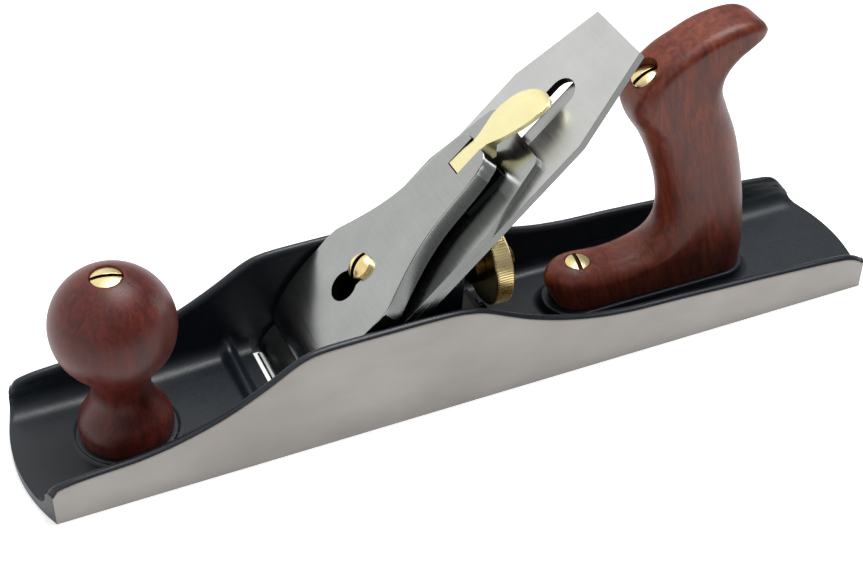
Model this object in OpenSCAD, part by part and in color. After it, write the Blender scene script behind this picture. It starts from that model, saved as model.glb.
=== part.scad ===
// A metal bench plane of the jack type, in millimetres.
// X runs from the toe to the heel, Y across, Z up, with the origin under the middle of the sole.

/* [Casting] */
// Length of the sole
sole_length = 355; // [340:1:380]
// Width of the sole
sole_width = 64; // [62:0.5:70]
// Thickness of the sole
sole_t = 4.5; // [4:0.1:5.5]
// Thickness of each cheek
cheek_t = 4; // [3:0.1:4.5]
// Height of the cheeks' flat sides near the toe
cheek_toe_h = 16; // [13:0.5:20]
// Height of the cheeks' flat sides beside the blade
cheek_hump_h = 44.4; // [38:0.2:48]
// Height of the cheeks' flat sides near the heel
cheek_heel_h = 20.5; // [18:0.5:24]
// Rise of the rounded crest above a cheek's flat side
cheek_crest = 2; // [1:0.1:3]
// Radius of the curved toe and heel, seen from above
end_radius = 77; // [60:1:120]

/* [Mouth] */
// Distance from the toe to the cutting edge
mouth_from_toe = 102.1; // [96:0.5:108]
// Gap between the cutting edge and the front of the mouth
mouth_gap = 2.5; // [1.5:0.1:4]
// Clearance of the blade to each side of the mouth
mouth_side_clear = 1.2; // [0.8:0.1:1.8]
// Height of the cross rib's crest above the ground
rib_top = 8; // [6:0.5:11]

/* [Blade] */
// Angle of the blade to the sole
bed_angle = 43.5; // [42:0.5:46]
// Width of the blade
blade_w = 52; // [48:0.5:53]
// Thickness of the blade
blade_t = 3.2; // [2.4:0.1:3.6]
// Length of the blade
blade_l = 189.2; // [178:0.1:195]
// Length of the blade's parallel part
blade_parallel = 151; // [142:1:160]
// Width of the blade's square top
blade_top_w = 31.7; // [26:0.5:40]
// Grinding angle of the blade's bevel
bevel_angle = 27; // [25:1:32]
// How far the resting edge lies up the bed from the sole's plane
edge_back = 0.35; // [0.3:0.05:0.6]
// Width of the blade's long slot
slot_w = 12.4; // [11.6:0.1:12.8]
// Distance along the blade to the slot's round top end
slot_top = 165; // [160:1:170]

/* [Chipbreaker] */
// Thickness of the chipbreaker
breaker_t = 3; // [2.6:0.1:3.4]
// Distance along the bed to the chipbreaker's top
breaker_top = 137; // [134:1:141]
// Width of the chipbreaker's top
breaker_top_w = 37; // [30:1:42]
// Height of the hump near the chipbreaker's front edge
breaker_hump = 4; // [3.6:0.1:4.3]

/* [Lever cap] */
// Height of the lever cap's flat top above the blade
cap_top = 14; // [13.6:0.1:15.4]
// Thickness of the lever cap's plate
cap_plate_t = 3.5; // [3:0.1:3.9]
// Distance along the bed to the lever cap's round end
cap_end = 125; // [123:0.5:127]
// Diameter of the keyhole's round hole
keyhole_d = 12.5; // [12.2:0.1:13]
// Thickness of the flat spring under the lever cap
spring_t = 1.2; // [0.9:0.05:1.3]
// Diameter of the cam lever's pin
cam_pin_d = 3.5; // [3:0.1:4]
// How far the cam lever lifts from its locked place, in degrees
cam_open = 80; // [60:1:82]

/* [Frog] */
// Angle of the ramp that the frog slides on
ramp_angle = 10; // [8:0.5:11]
// Travel of the frog each way along its ramp
frog_travel = 1.2; // [0.6:0.1:1.3]
// Distance along the bed to the frog's top
frog_top = 103; // [101:0.5:105]
// Width of the frog beside the adjusters
frog_w = 37; // [36:0.5:39]
// Width of the frog's broad foot under the blade
frog_foot_w = 48; // [44:0.5:50]
// Thickness of the frog's upper plate
frog_plate = 7; // [6:0.1:7.4]
// Diameter of the two frog pins
frog_pin_d = 6.5; // [6:0.1:7]
// Thread diameter of the frog's adjusting screw
adjust_screw_d = 6; // [5:0.2:6.4]

/* [Adjusters] */
// Diameter of the depth wheel
wheel_d = 33; // [30:0.5:34]
// Width of the depth wheel's rim
wheel_w = 7.5; // [6:0.1:8.5]
// Height of the depth wheel's axis
wheel_z = 38.5; // [38:0.1:39]
// Diameter of the threaded depth stud
depth_stud_d = 6; // [5:0.1:6.2]
// Travel of the depth wheel each way along its stud
depth_travel = 1.5; // [0.8:0.1:1.6]
// Diameter of the Y lever's pin
y_pin_d = 3.2; // [2.8:0.1:3.4]
// Thickness of the Y lever across the plane
y_lever_t = 6; // [5:0.1:6.4]
// Diameter of the disc on the lateral lever
disc_d = 9; // [8:0.1:9]
// Width of the lateral lever
lateral_w = 9; // [8:0.5:10]
// Width of the lateral lever's upper part
lateral_top_w = 6; // [5:0.5:7]
// Distance along the bed to the lateral lever's finger tab
lateral_reach = 175; // [168:1:178]

/* [Knob] */
// Distance from the toe to the knob's axis
knob_from_toe = 42.4; // [40:0.2:46]
// Height of the knob above its boss
knob_h = 72.8; // [66:0.1:76]
// Diameter of the knob's ball
knob_ball_d = 46; // [42:0.5:50]
// Diameter of the knob's neck
knob_neck_d = 22; // [19:0.5:25]
// Diameter of the knob's foot
knob_foot_d = 35.5; // [32:0.5:37]
// Diameter of the round boss under the knob
knob_boss_d = 38.4; // [37.5:0.2:42]
// Diameter of the knob's stud
knob_stud_d = 6; // [5:0.1:6.6]
// Diameter of the nut on the knob's top
knob_nut_d = 11.3; // [10:0.1:13]

/* [Tote] */
// Distance from the cutting edge to the back of the tote's base
tote_from_mouth = 203.4; // [200:0.2:208]
// Height of the tote's seat above the ground
tote_seat_z = 9.5; // [8:0.1:11]
// Thickness of the tote
tote_w = 23; // [20:0.5:25]
// Diameter of the tote's long stud
tote_stud_d = 5.8; // [5:0.1:6.4]
// Diameter of the nut on the tote's top
tote_nut_d = 11; // [10:0.1:12.5]
// Lean of the tote's stud towards the toe
tote_stud_lean = 23; // [22:0.5:24]
// Diameter of the toe screw's head
toe_screw_d = 10; // [8.5:0.1:11]

/* [Fits] */
// Radial clearance of threads, pins and shafts in their bores
fit = 0.05; // [0.03:0.01:0.08]
// Gap between flat faces that slide on each other
slide_gap = 0.02; // [0.01:0.01:0.05]
// Clearance of moving pieces that pass each other
run_clear = 0.3; // [0.2:0.05:0.35]
// Width of the screwdriver slots
driver_slot = 1.6; // [1:0.1:2]

/* [Hidden] */
$fn = 72;
// Overshoot of a cutting tool past the face that it cuts
over = 1;
curve_steps = 5;
half_l = sole_length / 2;
half_w = sole_width / 2;
inner_w = sole_width - 2 * cheek_t;
edge_x = mouth_from_toe - half_l;
knob_x = knob_from_toe - half_l;
tote_x = edge_x + tote_from_mouth;
end_sag = end_radius - sqrt(end_radius * end_radius - half_w * half_w);

// Places along the bed, measured from the cutting edge
cap_screw_s = 61.8;
iron_screw_s = 46;
iron_hole_s = 31;
y_tip_s = 79;
disc_s = 88.5;
lateral_pin_s = 97;
rivet_s = 92;
keyhole_s = 51;
cam_pin_s = 117.6;
cam_pin_off = 9.6;

// Small fasteners
cap_screw_d = 6.4;
cap_screw_head_d = 10.4;
cap_screw_rim = 1.6;
cap_screw_dome = 2.2;
iron_screw_d = 7.8;
iron_head_d = 15;
iron_head_t = 3.4;
iron_hole_d = 18;
lock_screw_d = 5.5;
lock_head_d = 7.2;
adjust_neck_d = 4;
adjust_head_d = 7.6;
tab_t = 2;
tab_w = 14;
tab_drop = 4.4;
tab_screw_d = 2.6;
tab_screw_head_d = 4;
lateral_pin_d = 4;
lateral_t = 2;
rivet_d = 3.6;

// Places on the frog's ramp, measured along it from its front and square to it
ramp_x = edge_x + 10.4;
ramp_z = sole_t + 0.7;
ramp_l = 70;
foot_l = 72;
pin_u = 40;
pin_y = 11.6;
lock_v = -4.2;
adjust_v = -4.8;
frog_back_x = edge_x + 69.4;

// Points of the bed, the ramp and a smooth curve through given points
function bed_pt(s, off) =
    [edge_x + s * cos(bed_angle) - off * sin(bed_angle), s * sin(bed_angle) + off * cos(bed_angle)];
function ramp_pt(u, v) =
    [ramp_x + u * cos(ramp_angle) - v * sin(ramp_angle), ramp_z + u * sin(ramp_angle) + v * cos(ramp_angle)];
function spline(a, b, c, d, t) =
    0.5 * (2 * b + (c - a) * t + (2 * a - 5 * b + 4 * c - d) * t * t + (3 * b - a - 3 * c + d) * t * t * t);
function open_curve(p, steps) = let (n = len(p)) concat(
    [for (i = [0:n - 2]) for (k = [0:steps - 1])
        spline(p[max(i - 1, 0)], p[i], p[i + 1], p[min(i + 2, n - 1)], k / steps)],
    [p[n - 1]]);
function arc(r, from, to, steps) = [for (k = [0:steps]) let (a = from + (to - from) * k / steps) r * [cos(a), sin(a)]];

module on_bed() translate([edge_x, 0, 0]) rotate([0, -bed_angle, 0]) children();
module on_ramp() translate([ramp_x, 0, ramp_z]) rotate([0, -ramp_angle, 0]) children();
module side_extrude(w) rotate([90, 0, 0]) translate([0, 0, -w / 2]) linear_extrude(w) children();
module both_sides(y) for (side = [-1, 1]) translate([0, side * y, 0]) children();
module rod_y(d, l) rotate([90, 0, 0]) cylinder(d = d, h = l, center = true);
module rod_x(d, l) rotate([0, 90, 0]) cylinder(d = d, h = l);
module link(a, b, w) {
    along = (b - a) / norm(b - a);
    across = [-along[1], along[0]] * w / 2;
    polygon([a - across, b - across, b + across, a + across]);
}
module ring_x(d, bore, l) difference() {
    rod_x(d, l);
    translate([-over, 0, 0]) rod_x(bore, l + 2 * over);
}

// A slotted nut or screw head with a low dome, standing on the plane z = 0
module domed_head(d, rim, dome, slot = driver_slot) {
    dome_r = (d * d / 4 + dome * dome) / (2 * dome);
    half_angle = asin(d / 2 / dome_r);
    difference() {
        rotate_extrude() polygon(concat(
            [[0, 0], [d / 2, 0]],
            [for (p = arc(dome_r, 90 - half_angle, 90, 8)) p + [0, rim + dome - dome_r]]));
        translate([-d, -slot / 2, rim - dome / 2]) cube([2 * d, slot, 3 * dome]);
    }
}

// Height of a cheek's flat side, from the toe over the hump to the heel
front_rise = [[-36.6, 0.27], [-22.6, 0.48], [-11.6, 0.7], [-3.6, 0.88], [4.4, 0.975], [13.4, 1]];
rear_fall = [[35.4, 1], [55.4, 0.99], [67.4, 0.93], [76.4, 0.79], [90.4, 0.5], [105.4, 0.27],
             [120.4, 0.12], [137.4, 0.03]];
cheek_line = concat(
    [[-half_l + end_sag, cheek_toe_h - 3.5], [-half_l + 12, cheek_toe_h - 0.5],
     [-half_l + 27.5, cheek_toe_h + 0.8], [-half_l + 47.5, cheek_toe_h + 3.1]],
    [for (p = front_rise) [edge_x + p[0], cheek_toe_h + p[1] * (cheek_hump_h - cheek_toe_h)]],
    [for (p = rear_fall) [edge_x + p[0], cheek_heel_h + p[1] * (cheek_hump_h - cheek_heel_h)]],
    [[half_l - 72.5, cheek_heel_h - 1.5], [half_l - 42.5, cheek_heel_h - 3.1],
     [half_l - 22.5, cheek_heel_h - 4.5], [half_l - 12.5, cheek_heel_h - 6],
     [half_l - end_sag, cheek_heel_h - 8.5]]);

module sole_outline() intersection() {
    square([sole_length, sole_width], center = true);
    union() {
        for (end = [-1, 1]) translate([end * (half_l - end_radius), 0]) circle(r = end_radius, $fn = 180);
        square([sole_length - 2 * end_radius, sole_width], center = true);
    }
}

module cheek_layer(t, rise) side_extrude(t) polygon(concat(
    [[-half_l, 0]],
    [[-half_l, cheek_line[0][1] + rise]],
    [for (p = open_curve(cheek_line, curve_steps)) p + [0, rise]],
    [[half_l, cheek_line[len(cheek_line) - 1][1] + rise], [half_l, 0]]));

module mouth_cut() {
    mouth_w = blade_w + 2 * mouth_side_clear;
    front_x = edge_x - mouth_gap;
    // Room behind the blade when the frog is run back
    rear_gap = frog_travel * sin(bed_angle - ramp_angle) + run_clear;
    side_extrude(mouth_w) polygon([
        [front_x, -over], [front_x, sole_t + over], [front_x, 2 * rib_top],
        bed_pt(30, -blade_t - rear_gap), bed_pt(-6, -blade_t - rear_gap)]);
}

module frog_pin_slots() both_sides(pin_y) on_ramp() {
    slot_r = frog_pin_d / 2 + run_clear;
    reach = frog_travel + run_clear;
    depth = -pin_bottom + run_clear;
    for (end = [-1, 1]) translate([pin_u + end * reach, 0, -depth]) cylinder(r = slot_r, h = depth + over);
    translate([pin_u - reach, -slot_r, -depth]) cube([2 * reach, 2 * slot_r, depth + over]);
}

module knob_stud_space(d) translate([knob_x, 0, 0]) cylinder(d = d, h = sole_t + knob_h * 2);

module body_casting() color("#2f353c") difference() {
    union() {
        linear_extrude(sole_t) sole_outline();
        intersection() {
            linear_extrude(2 * cheek_hump_h) sole_outline();
            both_sides(half_w - cheek_t / 2) {
                cheek_layer(cheek_t, cheek_crest / 2);
                cheek_layer(cheek_t / 2, cheek_crest);
            }
        }
        side_extrude(inner_w + over) polygon([
            [rib_x - rib_crest - rib_slope - 1.5, sole_t - over], [rib_x - rib_crest - 1.5, rib_top - 0.6],
            [rib_x - rib_crest, rib_top], [rib_x, rib_top], [rib_x + rib_slope, sole_t - over]]);
        side_extrude(frog_foot_w) polygon([
            [ramp_x - 4, sole_t - over], ramp_pt(-4, 0), ramp_pt(ramp_l, 0), ramp_pt(ramp_l, -14)]);
        translate([knob_x, 0, 0]) cylinder(d = knob_boss_d, h = knob_seat_z);
        linear_extrude(tote_seat_z) tote_boss_outline();
    }
    mouth_cut();
    translate([0, 0, -2 * sole_t]) cube([2 * sole_length, 2 * sole_width, 4 * sole_t], center = true);
    frog_pin_slots();
    both_sides(pin_y) on_ramp() translate([pin_u, 0, lock_v]) rod_x(lock_screw_d + 2 * fit, ramp_l);
    on_ramp() translate([adjust_tip_u - 3, 0, adjust_v]) rod_x(adjust_screw_d + 2 * fit, ramp_l);
    translate([knob_x, 0, stud_floor]) cylinder(d = knob_stud_d + 2 * fit, h = knob_h);
    on_tote_stud() translate([0, 0, -tote_stud_l - 0.5]) cylinder(d = tote_stud_d + 2 * fit, h = tote_stud_l);
    translate([toe_screw_x, 0, stud_floor]) cylinder(d = toe_shank_d + 2 * fit, h = tote_seat_z);
}
rib_x = edge_x - 10.5;
rib_crest = 2;
rib_slope = 3;
stud_floor = 2.2;
knob_seat_z = sole_t + 1.6;

// Knob: a ball on a flared foot, turned about its stud
knob_top_z = knob_seat_z + knob_h;
ball_z = knob_top_z - knob_ball_d / 2 + 0.4;
knob_nut_seat = knob_top_z - 2.9;
module knob() color("#7a3a2a") translate([knob_x, 0, 0]) {
    ball_r = knob_ball_d / 2;
    neck_r = knob_neck_d / 2;
    foot_r = knob_foot_d / 2;
    neck_z = knob_seat_z + 21;
    profile = open_curve(concat(
        [[foot_r - 0.6, knob_seat_z], [foot_r, knob_seat_z + 3], [foot_r - 0.5, knob_seat_z + 7.5],
         [neck_r + 0.3 * (foot_r - neck_r), knob_seat_z + 13.5], [neck_r, neck_z],
         [neck_r + 0.2 * (ball_r - neck_r), neck_z + 5.8]],
        [for (a = [-40, -20, 0, 20, 40, 60, 75]) [ball_r * cos(a), ball_z + ball_r * sin(a)]]), curve_steps);
    difference() {
        rotate_extrude() polygon(concat([[0, knob_seat_z]], profile, [[0, knob_top_z]]));
        cylinder(d = knob_stud_d + 2 * fit, h = 2 * knob_top_z);
        translate([0, 0, knob_nut_seat - knob_barrel_l]) cylinder(d = knob_barrel_d + 2 * fit, h = knob_h);
        translate([0, 0, knob_nut_seat]) cylinder(d = knob_nut_d + 2 * run_clear, h = knob_h);
    }
}
knob_barrel_d = knob_stud_d + 2.4;
knob_barrel_l = 12;

module knob_stud() color("#8f9295") translate([knob_x, 0, stud_floor + fit])
    cylinder(d = knob_stud_d, h = knob_nut_seat - 3 - stud_floor);

module knob_nut() color("#d9b45a") translate([knob_x, 0, knob_nut_seat]) rotate([0, 0, -12]) difference() {
    union() {
        domed_head(knob_nut_d, 1.9, 1);
        translate([0, 0, -knob_barrel_l + fit]) cylinder(d = knob_barrel_d, h = knob_barrel_l);
    }
    translate([0, 0, -knob_barrel_l - over]) cylinder(d = knob_stud_d + 2 * fit, h = knob_barrel_l - 1);
}

// Tote: a sawn outline with rounded edges on a raised boss
tote_nut_back = 53.2;
tote_nut_rise = 99.7;
toe_screw_back = 75.4;
toe_screw_rise = 15.8;
toe_screw_sink = 0.6;
tote_base_l = 89.5;
tote_nut_x = tote_x - tote_nut_back;
tote_nut_z = tote_seat_z + tote_nut_rise;
tote_stud_l = (tote_nut_z - 3 - stud_floor) / cos(tote_stud_lean);
tote_barrel_d = tote_stud_d + 2.2;
tote_barrel_l = 16;
toe_screw_x = tote_x - toe_screw_back;
toe_screw_z = tote_seat_z + toe_screw_rise;
toe_shank_d = 5;
tote_points = [
    [-84.5, 0], [-88.4, 5.5], [-89.4, 11], [-88.2, 15.6], [-83.6, 17.4], [-75.4, 17.1], [-65, 15.8], [-54, 16.5],
    [-45.8, 20.3], [-41.7, 28], [-41, 40], [-43, 49], [-47, 58.5], [-53, 71.5], [-58.8, 82], [-60.2, 88.5],
    [-57.4, 95], [-52.5, 101.5], [-46.2, 106.7], [-38.7, 111], [-30.2, 115.1], [-21, 117.3], [-12.5, 117.4],
    [-5.5, 115], [-1.6, 111.2], [-5.4, 107], [-12.8, 102.8], [-18.4, 97.6], [-20.8, 91.4], [-18.8, 84.6],
    [-14.4, 74], [-10.4, 64], [-7.2, 54], [-4.5, 43], [-1.6, 30], [0, 20], [0, 9], [-0.6, 0]];
module tote_side() translate([tote_x, tote_seat_z]) polygon(open_curve(tote_points, 3));
module tote_plan(w) {
    front_x = tote_x - tote_base_l - 0.5;
    translate([front_x + w / 2, 0]) circle(d = w);
    translate([front_x + w / 2, -w / 2]) square([2 * tote_base_l, w]);
}
module tote_boss_outline() {
    boss_edge = 1.5;
    boss_w = tote_w + 2 * boss_edge;
    front_x = tote_x - tote_base_l;
    for (x = [front_x + boss_w / 2, tote_x + boss_edge - boss_w / 2]) translate([x, 0]) circle(d = boss_w);
    translate([front_x + boss_w / 2, -boss_w / 2]) square([tote_base_l + boss_edge - boss_w, boss_w]);
}
module on_tote_stud() translate([tote_nut_x, 0, tote_nut_z]) rotate([0, -tote_stud_lean, 0]) children();

module tote() color("#7d3f2b") difference() {
    intersection() {
        union() {
            side_extrude(tote_w * 0.5) tote_side();
            side_extrude(tote_w * 0.78) offset(delta = -1.2) tote_side();
            side_extrude(tote_w) offset(delta = -3.6) tote_side();
            side_extrude(tote_w * 0.8) intersection() {
                tote_side();
                translate([tote_x - tote_base_l, tote_seat_z]) square([tote_base_l, 8]);
            }
        }
        linear_extrude(2 * tote_nut_z) tote_plan(tote_w);
    }
    on_tote_stud() {
        translate([0, 0, -tote_stud_l]) cylinder(d = tote_stud_d + 2 * fit, h = 2 * tote_stud_l);
        translate([0, 0, -tote_barrel_l - 3]) cylinder(d = tote_barrel_d + 2 * fit, h = tote_barrel_l + 3);
        translate([0, 0, -3]) cylinder(d = tote_nut_d + 2 * run_clear, h = tote_stud_l);
    }
    translate([toe_screw_x, 0, 0]) cylinder(d = toe_shank_d + 2 * fit, h = tote_nut_z);
    translate([toe_screw_x, 0, toe_screw_z - toe_screw_sink]) cylinder(d = toe_screw_d + 2 * run_clear, h = 20);
}

module tote_stud() color("#8f9295") on_tote_stud() translate([0, 0, -tote_stud_l])
    cylinder(d = tote_stud_d, h = tote_stud_l - 6);

module tote_nut() color("#d9b45a") on_tote_stud() translate([0, 0, -3]) rotate([0, 0, 4]) difference() {
    union() {
        domed_head(tote_nut_d, 1.8, 1.2);
        translate([0, 0, -tote_barrel_l]) cylinder(d = tote_barrel_d, h = tote_barrel_l + fit);
    }
    translate([0, 0, -tote_barrel_l - over]) cylinder(d = tote_stud_d + 2 * fit, h = tote_barrel_l - 1);
}

module tote_toe_screw() color("#d9b45a") translate([toe_screw_x, 0, toe_screw_z]) {
    translate([0, 0, -toe_screw_sink]) rotate([0, 0, 80]) domed_head(toe_screw_d, 1.6, 0.8);
    shank = toe_screw_z - toe_screw_sink - stud_floor - 0.3;
    translate([0, 0, -toe_screw_sink - shank]) cylinder(d = toe_shank_d, h = shank + fit);
}

// Frog: the wedge that the blade lies on
module frog_outline() polygon([
    ramp_pt(1.6, slide_gap), bed_pt(12.5, -blade_t - slide_gap), bed_pt(frog_top, -blade_t - slide_gap),
    bed_pt(frog_top, -blade_t - frog_plate), frog_back_pt, ramp_pt(foot_l - 12, 9.5),
    ramp_pt(foot_l - 6, foot_h + 0.6), ramp_pt(foot_l, foot_h), ramp_pt(foot_l, slide_gap)]);
// Where the back of the upper plate meets the frog's upright back
frog_back_pt = let (s = (frog_back_x - edge_x - (blade_t + frog_plate) * sin(bed_angle)) / cos(bed_angle))
    bed_pt(s, -blade_t - frog_plate);

y_pin = [frog_back_x - 3.5, wheel_z + 10];
y_tip = bed_pt(y_tip_s, 1.5);
y_fork = [frog_back_x + 8.4, wheel_z];
y_tip_d = 3.6;
y_tip_clear = 0.35;
// Turn of the Y lever and slide of the blade at the end of the depth wheel's travel
y_turn = depth_travel / (y_pin[1] - y_fork[1]) * 180 / PI;
blade_travel = depth_travel * (norm(y_tip - y_pin)) / (y_pin[1] - y_fork[1]);

module frog() color("#2f353c") difference() {
    union() {
        side_extrude(frog_w) frog_outline();
        side_extrude(frog_foot_w) intersection() {
            frog_outline();
            translate([ramp_x - 5, 0]) square([38, cheek_hump_h]);
        }
    }
    // Wells over the two pins
    well_w = 9.2;
    both_sides(pin_y) side_extrude(well_w) polygon([
        ramp_pt(15, 9), ramp_pt(49, 9), ramp_pt(49, 70), ramp_pt(15, 70)]);
    both_sides(pin_y) on_ramp() translate([pin_u, 0, -over]) cylinder(d = frog_pin_d + 2 * fit, h = 15);
    // Room for the cap iron screw's head, which slides with the blade
    head_room = iron_head_d / 2 + depth_travel + 1;
    on_bed() translate([iron_screw_s, 0, -blade_t - iron_head_t - 1.5]) {
        cylinder(r = head_room, h = 20);
        translate([-2 * head_room, -head_room, 0]) cube([2 * head_room, 2 * head_room, 20]);
    }
    on_bed() translate([cap_screw_s, 0, -cap_screw_depth - over])
        cylinder(d = cap_screw_d + 2 * fit, h = 2 * cap_screw_depth);
    // Slot that the Y lever swings in, open to the face and to the back
    side_extrude(y_lever_t + 0.4) polygon([
        bed_pt(y_tip_s - 4, 2), bed_pt(y_tip_s + 6, 2), y_pin + [0, 6.2], [frog_back_x + over, y_pin[1] + 6.2],
        [frog_back_x + over, y_pin[1] - 5.8], y_pin + [-4, -5.8], y_pin + [-7.5, -1]]);
    translate([y_pin[0], 0, y_pin[1]]) rod_y(y_pin_d + 2 * fit, 2 * frog_w);
    translate([frog_back_x - depth_stud_in, 0, wheel_z]) rod_x(depth_stud_d + 2 * fit, 60);
    // Bed for the lateral lever and its pin
    on_bed() {
        translate([disc_s - lateral_w, -lateral_w, -blade_t - lateral_t - 0.4]) cube([60, 2 * lateral_w, 20]);
        translate([lateral_pin_s, 0, -blade_t - 9]) cylinder(d = lateral_pin_d + 2 * fit, h = 20);
    }
    on_ramp() translate([foot_l - 7, 0, tab_screw_v]) rod_x(tab_screw_d + 2 * fit, 20);
}
cap_screw_depth = 18;
depth_stud_in = 9;
tab_screw_v = 1.4;
foot_h = 3.8;
pin_bottom = -7.4;
adjust_tip_u = 48;

module frog_pins() color("#9a9da0") both_sides(pin_y) on_ramp() translate([pin_u, 0, 0]) {
    neck_r = 1.8;
    pin_r = frog_pin_d / 2;
    rotate_extrude() polygon([
        [0, pin_bottom], [pin_r, pin_bottom], [pin_r, lock_v - 2.6], [neck_r, lock_v - 1], [neck_r, lock_v + 1],
        [pin_r, lock_v + 2.6], [pin_r, 9], [pin_r + 1.2, 9], [pin_r + 1.2, 11.6], [0, 11.6]]);
}

module frog_locking_screws() color("#9a9da0") both_sides(pin_y) on_ramp() translate([0, 0, lock_v]) {
    tip_u = pin_u + frog_pin_d / 2 + 0.1;
    r = lock_screw_d / 2;
    difference() {
        rotate([0, 90, 0]) rotate_extrude() polygon([
            [0, tip_u], [r, tip_u + r], [r, ramp_l], [lock_head_d / 2, ramp_l],
            [lock_head_d / 2, ramp_l + 2.2], [0, ramp_l + 2.2]]);
        translate([ramp_l + 1.2, -lock_head_d, -driver_slot / 2]) cube([5, 2 * lock_head_d, driver_slot]);
    }
}

module frog_adjusting_screw() color("#9a9da0") on_ramp() translate([0, 0, adjust_v]) {
    r = adjust_screw_d / 2;
    difference() {
        rotate([0, 90, 0]) rotate_extrude() polygon([
            [0, adjust_tip_u], [r - 0.8, adjust_tip_u], [r, adjust_tip_u + 0.8], [r, foot_l - fit],
            [adjust_neck_d / 2, foot_l - fit], [adjust_neck_d / 2, foot_l + tab_t + fit],
            [adjust_head_d / 2, foot_l + tab_t + fit], [adjust_head_d / 2, foot_l + tab_t + 4],
            [0, foot_l + tab_t + 4]]);
        translate([foot_l + tab_t + 2.6, -adjust_head_d, -driver_slot / 2])
            cube([5, 2 * adjust_head_d, driver_slot]);
    }
}

module frog_tab() color("#9a9da0") on_ramp() translate([foot_l, 0, 0]) difference() {
    translate([0, -tab_w / 2, adjust_v - tab_drop]) cube([tab_t, tab_w, tab_drop - adjust_v + foot_h - 0.2]);
    translate([-over, 0, adjust_v]) rod_x(adjust_neck_d + 2 * fit, 5);
    translate([-over, -adjust_neck_d / 2 - fit, adjust_v - 8]) cube([5, adjust_neck_d + 2 * fit, 8]);
    translate([-over, 0, tab_screw_v]) rod_x(tab_screw_d + 2 * fit, 5);
}

module frog_tab_screw() color("#9a9da0") on_ramp() translate([foot_l, 0, tab_screw_v]) {
    translate([-6, 0, 0]) rod_x(tab_screw_d, 6 + tab_t + fit);
    translate([tab_t, 0, 0]) rotate([0, 90, 0]) rotate([0, 0, 90]) domed_head(tab_screw_head_d, 0.7, 0.7);
}

// Depth adjuster: hub and wheel on a stud behind the frog
hub_end = 28.3;
module depth_stud() color("#8f9295") translate([frog_back_x - depth_stud_in, 0, wheel_z])
    rod_x(depth_stud_d, depth_stud_in + hub_end - 1.5);

groove_w = y_tip_d + 0.8;
groove_x = y_fork[0] - groove_w / 2;
flange_d = 13;
core_d = 8.8;
flange_t = 1.8;
wheel_x = groove_x + groove_w + 4.3;
seat_d = 10;
collar_d = 8;
module depth_hub() color("#c99f45") translate([0, 0, wheel_z]) difference() {
    union() {
        translate([groove_x - flange_t, 0, 0]) rod_x(flange_d, flange_t);
        translate([groove_x - over / 2, 0, 0]) rod_x(core_d, groove_w + over);
        translate([groove_x + groove_w, 0, 0]) rod_x(flange_d, wheel_x - groove_x - groove_w);
        translate([wheel_x - over / 2, 0, 0]) rod_x(seat_d, wheel_w + over / 2);
        translate([wheel_x + wheel_w, 0, 0]) rod_x(collar_d, frog_back_x + hub_end - wheel_x - wheel_w);
    }
    translate([-half_l, 0, 0]) rod_x(depth_stud_d + 2 * fit, sole_length);
}

module depth_wheel() color("#d9b45a") translate([wheel_x, 0, wheel_z]) {
    knurls = 96;
    knurl_h = 0.4;
    knurl_w = 0.5;
    recess = 1.6;
    bevel = 0.8;
    difference() {
        rotate([0, 90, 0]) rotate_extrude() polygon([
            [seat_d / 2 + fit, fit], [wheel_d / 2 - 5, fit], [wheel_d / 2 - bevel, fit], [wheel_d / 2, bevel],
            [wheel_d / 2, wheel_w - bevel], [wheel_d / 2 - bevel, wheel_w], [wheel_d / 2 - 4, wheel_w],
            [wheel_d / 2 - 5, wheel_w - recess], [seat_d / 2 + fit, wheel_w - recess]]);
        for (k = [0:knurls - 1]) rotate([k * 360 / knurls, 0, 0])
            translate([-over, -knurl_w / 2, wheel_d / 2 - knurl_h]) cube([wheel_w + 2 * over, knurl_w, 2]);
    }
}

module y_lever() color("#8f9295") {
    prong_w = 3.2;
    prong_y = core_d / 2 + 0.3 + prong_w / 2;
    bar = [y_fork[0], y_pin[1] + 2];
    difference() {
        union() {
            translate([y_pin[0], 0, y_pin[1]]) rod_y(8, y_lever_t);
            side_extrude(y_lever_t) link(y_pin, y_tip, y_tip_d - 0.4);
            translate([y_tip[0], 0, y_tip[1]]) rod_y(y_tip_d, y_lever_t);
            side_extrude(y_lever_t) link(y_pin, bar, 4.4);
            side_extrude(2 * prong_y + prong_w) link(bar - [2.2, 0], bar + [1.8, 0], 3.6);
            both_sides(prong_y) {
                side_extrude(prong_w) link(bar, y_fork, 2.4);
                translate([y_fork[0], 0, y_fork[1]]) rod_y(y_tip_d, prong_w);
            }
        }
        translate([y_pin[0], 0, y_pin[1]]) rod_y(y_pin_d + 2 * fit, 60);
    }
}

module y_lever_pin() color("#9a9da0") translate([y_pin[0], 0, y_pin[1]]) rod_y(y_pin_d, frog_w - 0.4);

// Lateral adjuster: a flat lever on the frog's top with a disc in the blade's slot
lateral_off = -blade_t - 0.2 - lateral_t;
module lateral_lever() color("#a9acae") on_bed() difference() {
    union() {
        translate([disc_s, 0, lateral_off]) cylinder(d = lateral_w, h = lateral_t);
        translate([0, 0, lateral_off]) linear_extrude(lateral_t) polygon([
            [disc_s, -lateral_w / 2], [frog_top, -lateral_w / 2], [frog_top + 14, -lateral_top_w / 2],
            [lateral_reach, -lateral_top_w / 2], [lateral_reach, lateral_top_w / 2],
            [frog_top + 14, lateral_top_w / 2], [frog_top, lateral_w / 2], [disc_s, lateral_w / 2]]);
        translate([lateral_reach - lateral_t, -lateral_w / 2, lateral_off - 8])
            cube([lateral_t, lateral_w, 8 + lateral_t]);
    }
    translate([lateral_pin_s, 0, lateral_off - over]) cylinder(d = lateral_pin_d + 2 * fit, h = 5);
}

module lateral_disc() color("#a9acae") on_bed() translate([disc_s, 0, lateral_off + lateral_t])
    cylinder(d = disc_d, h = blade_t - 0.6);

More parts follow.
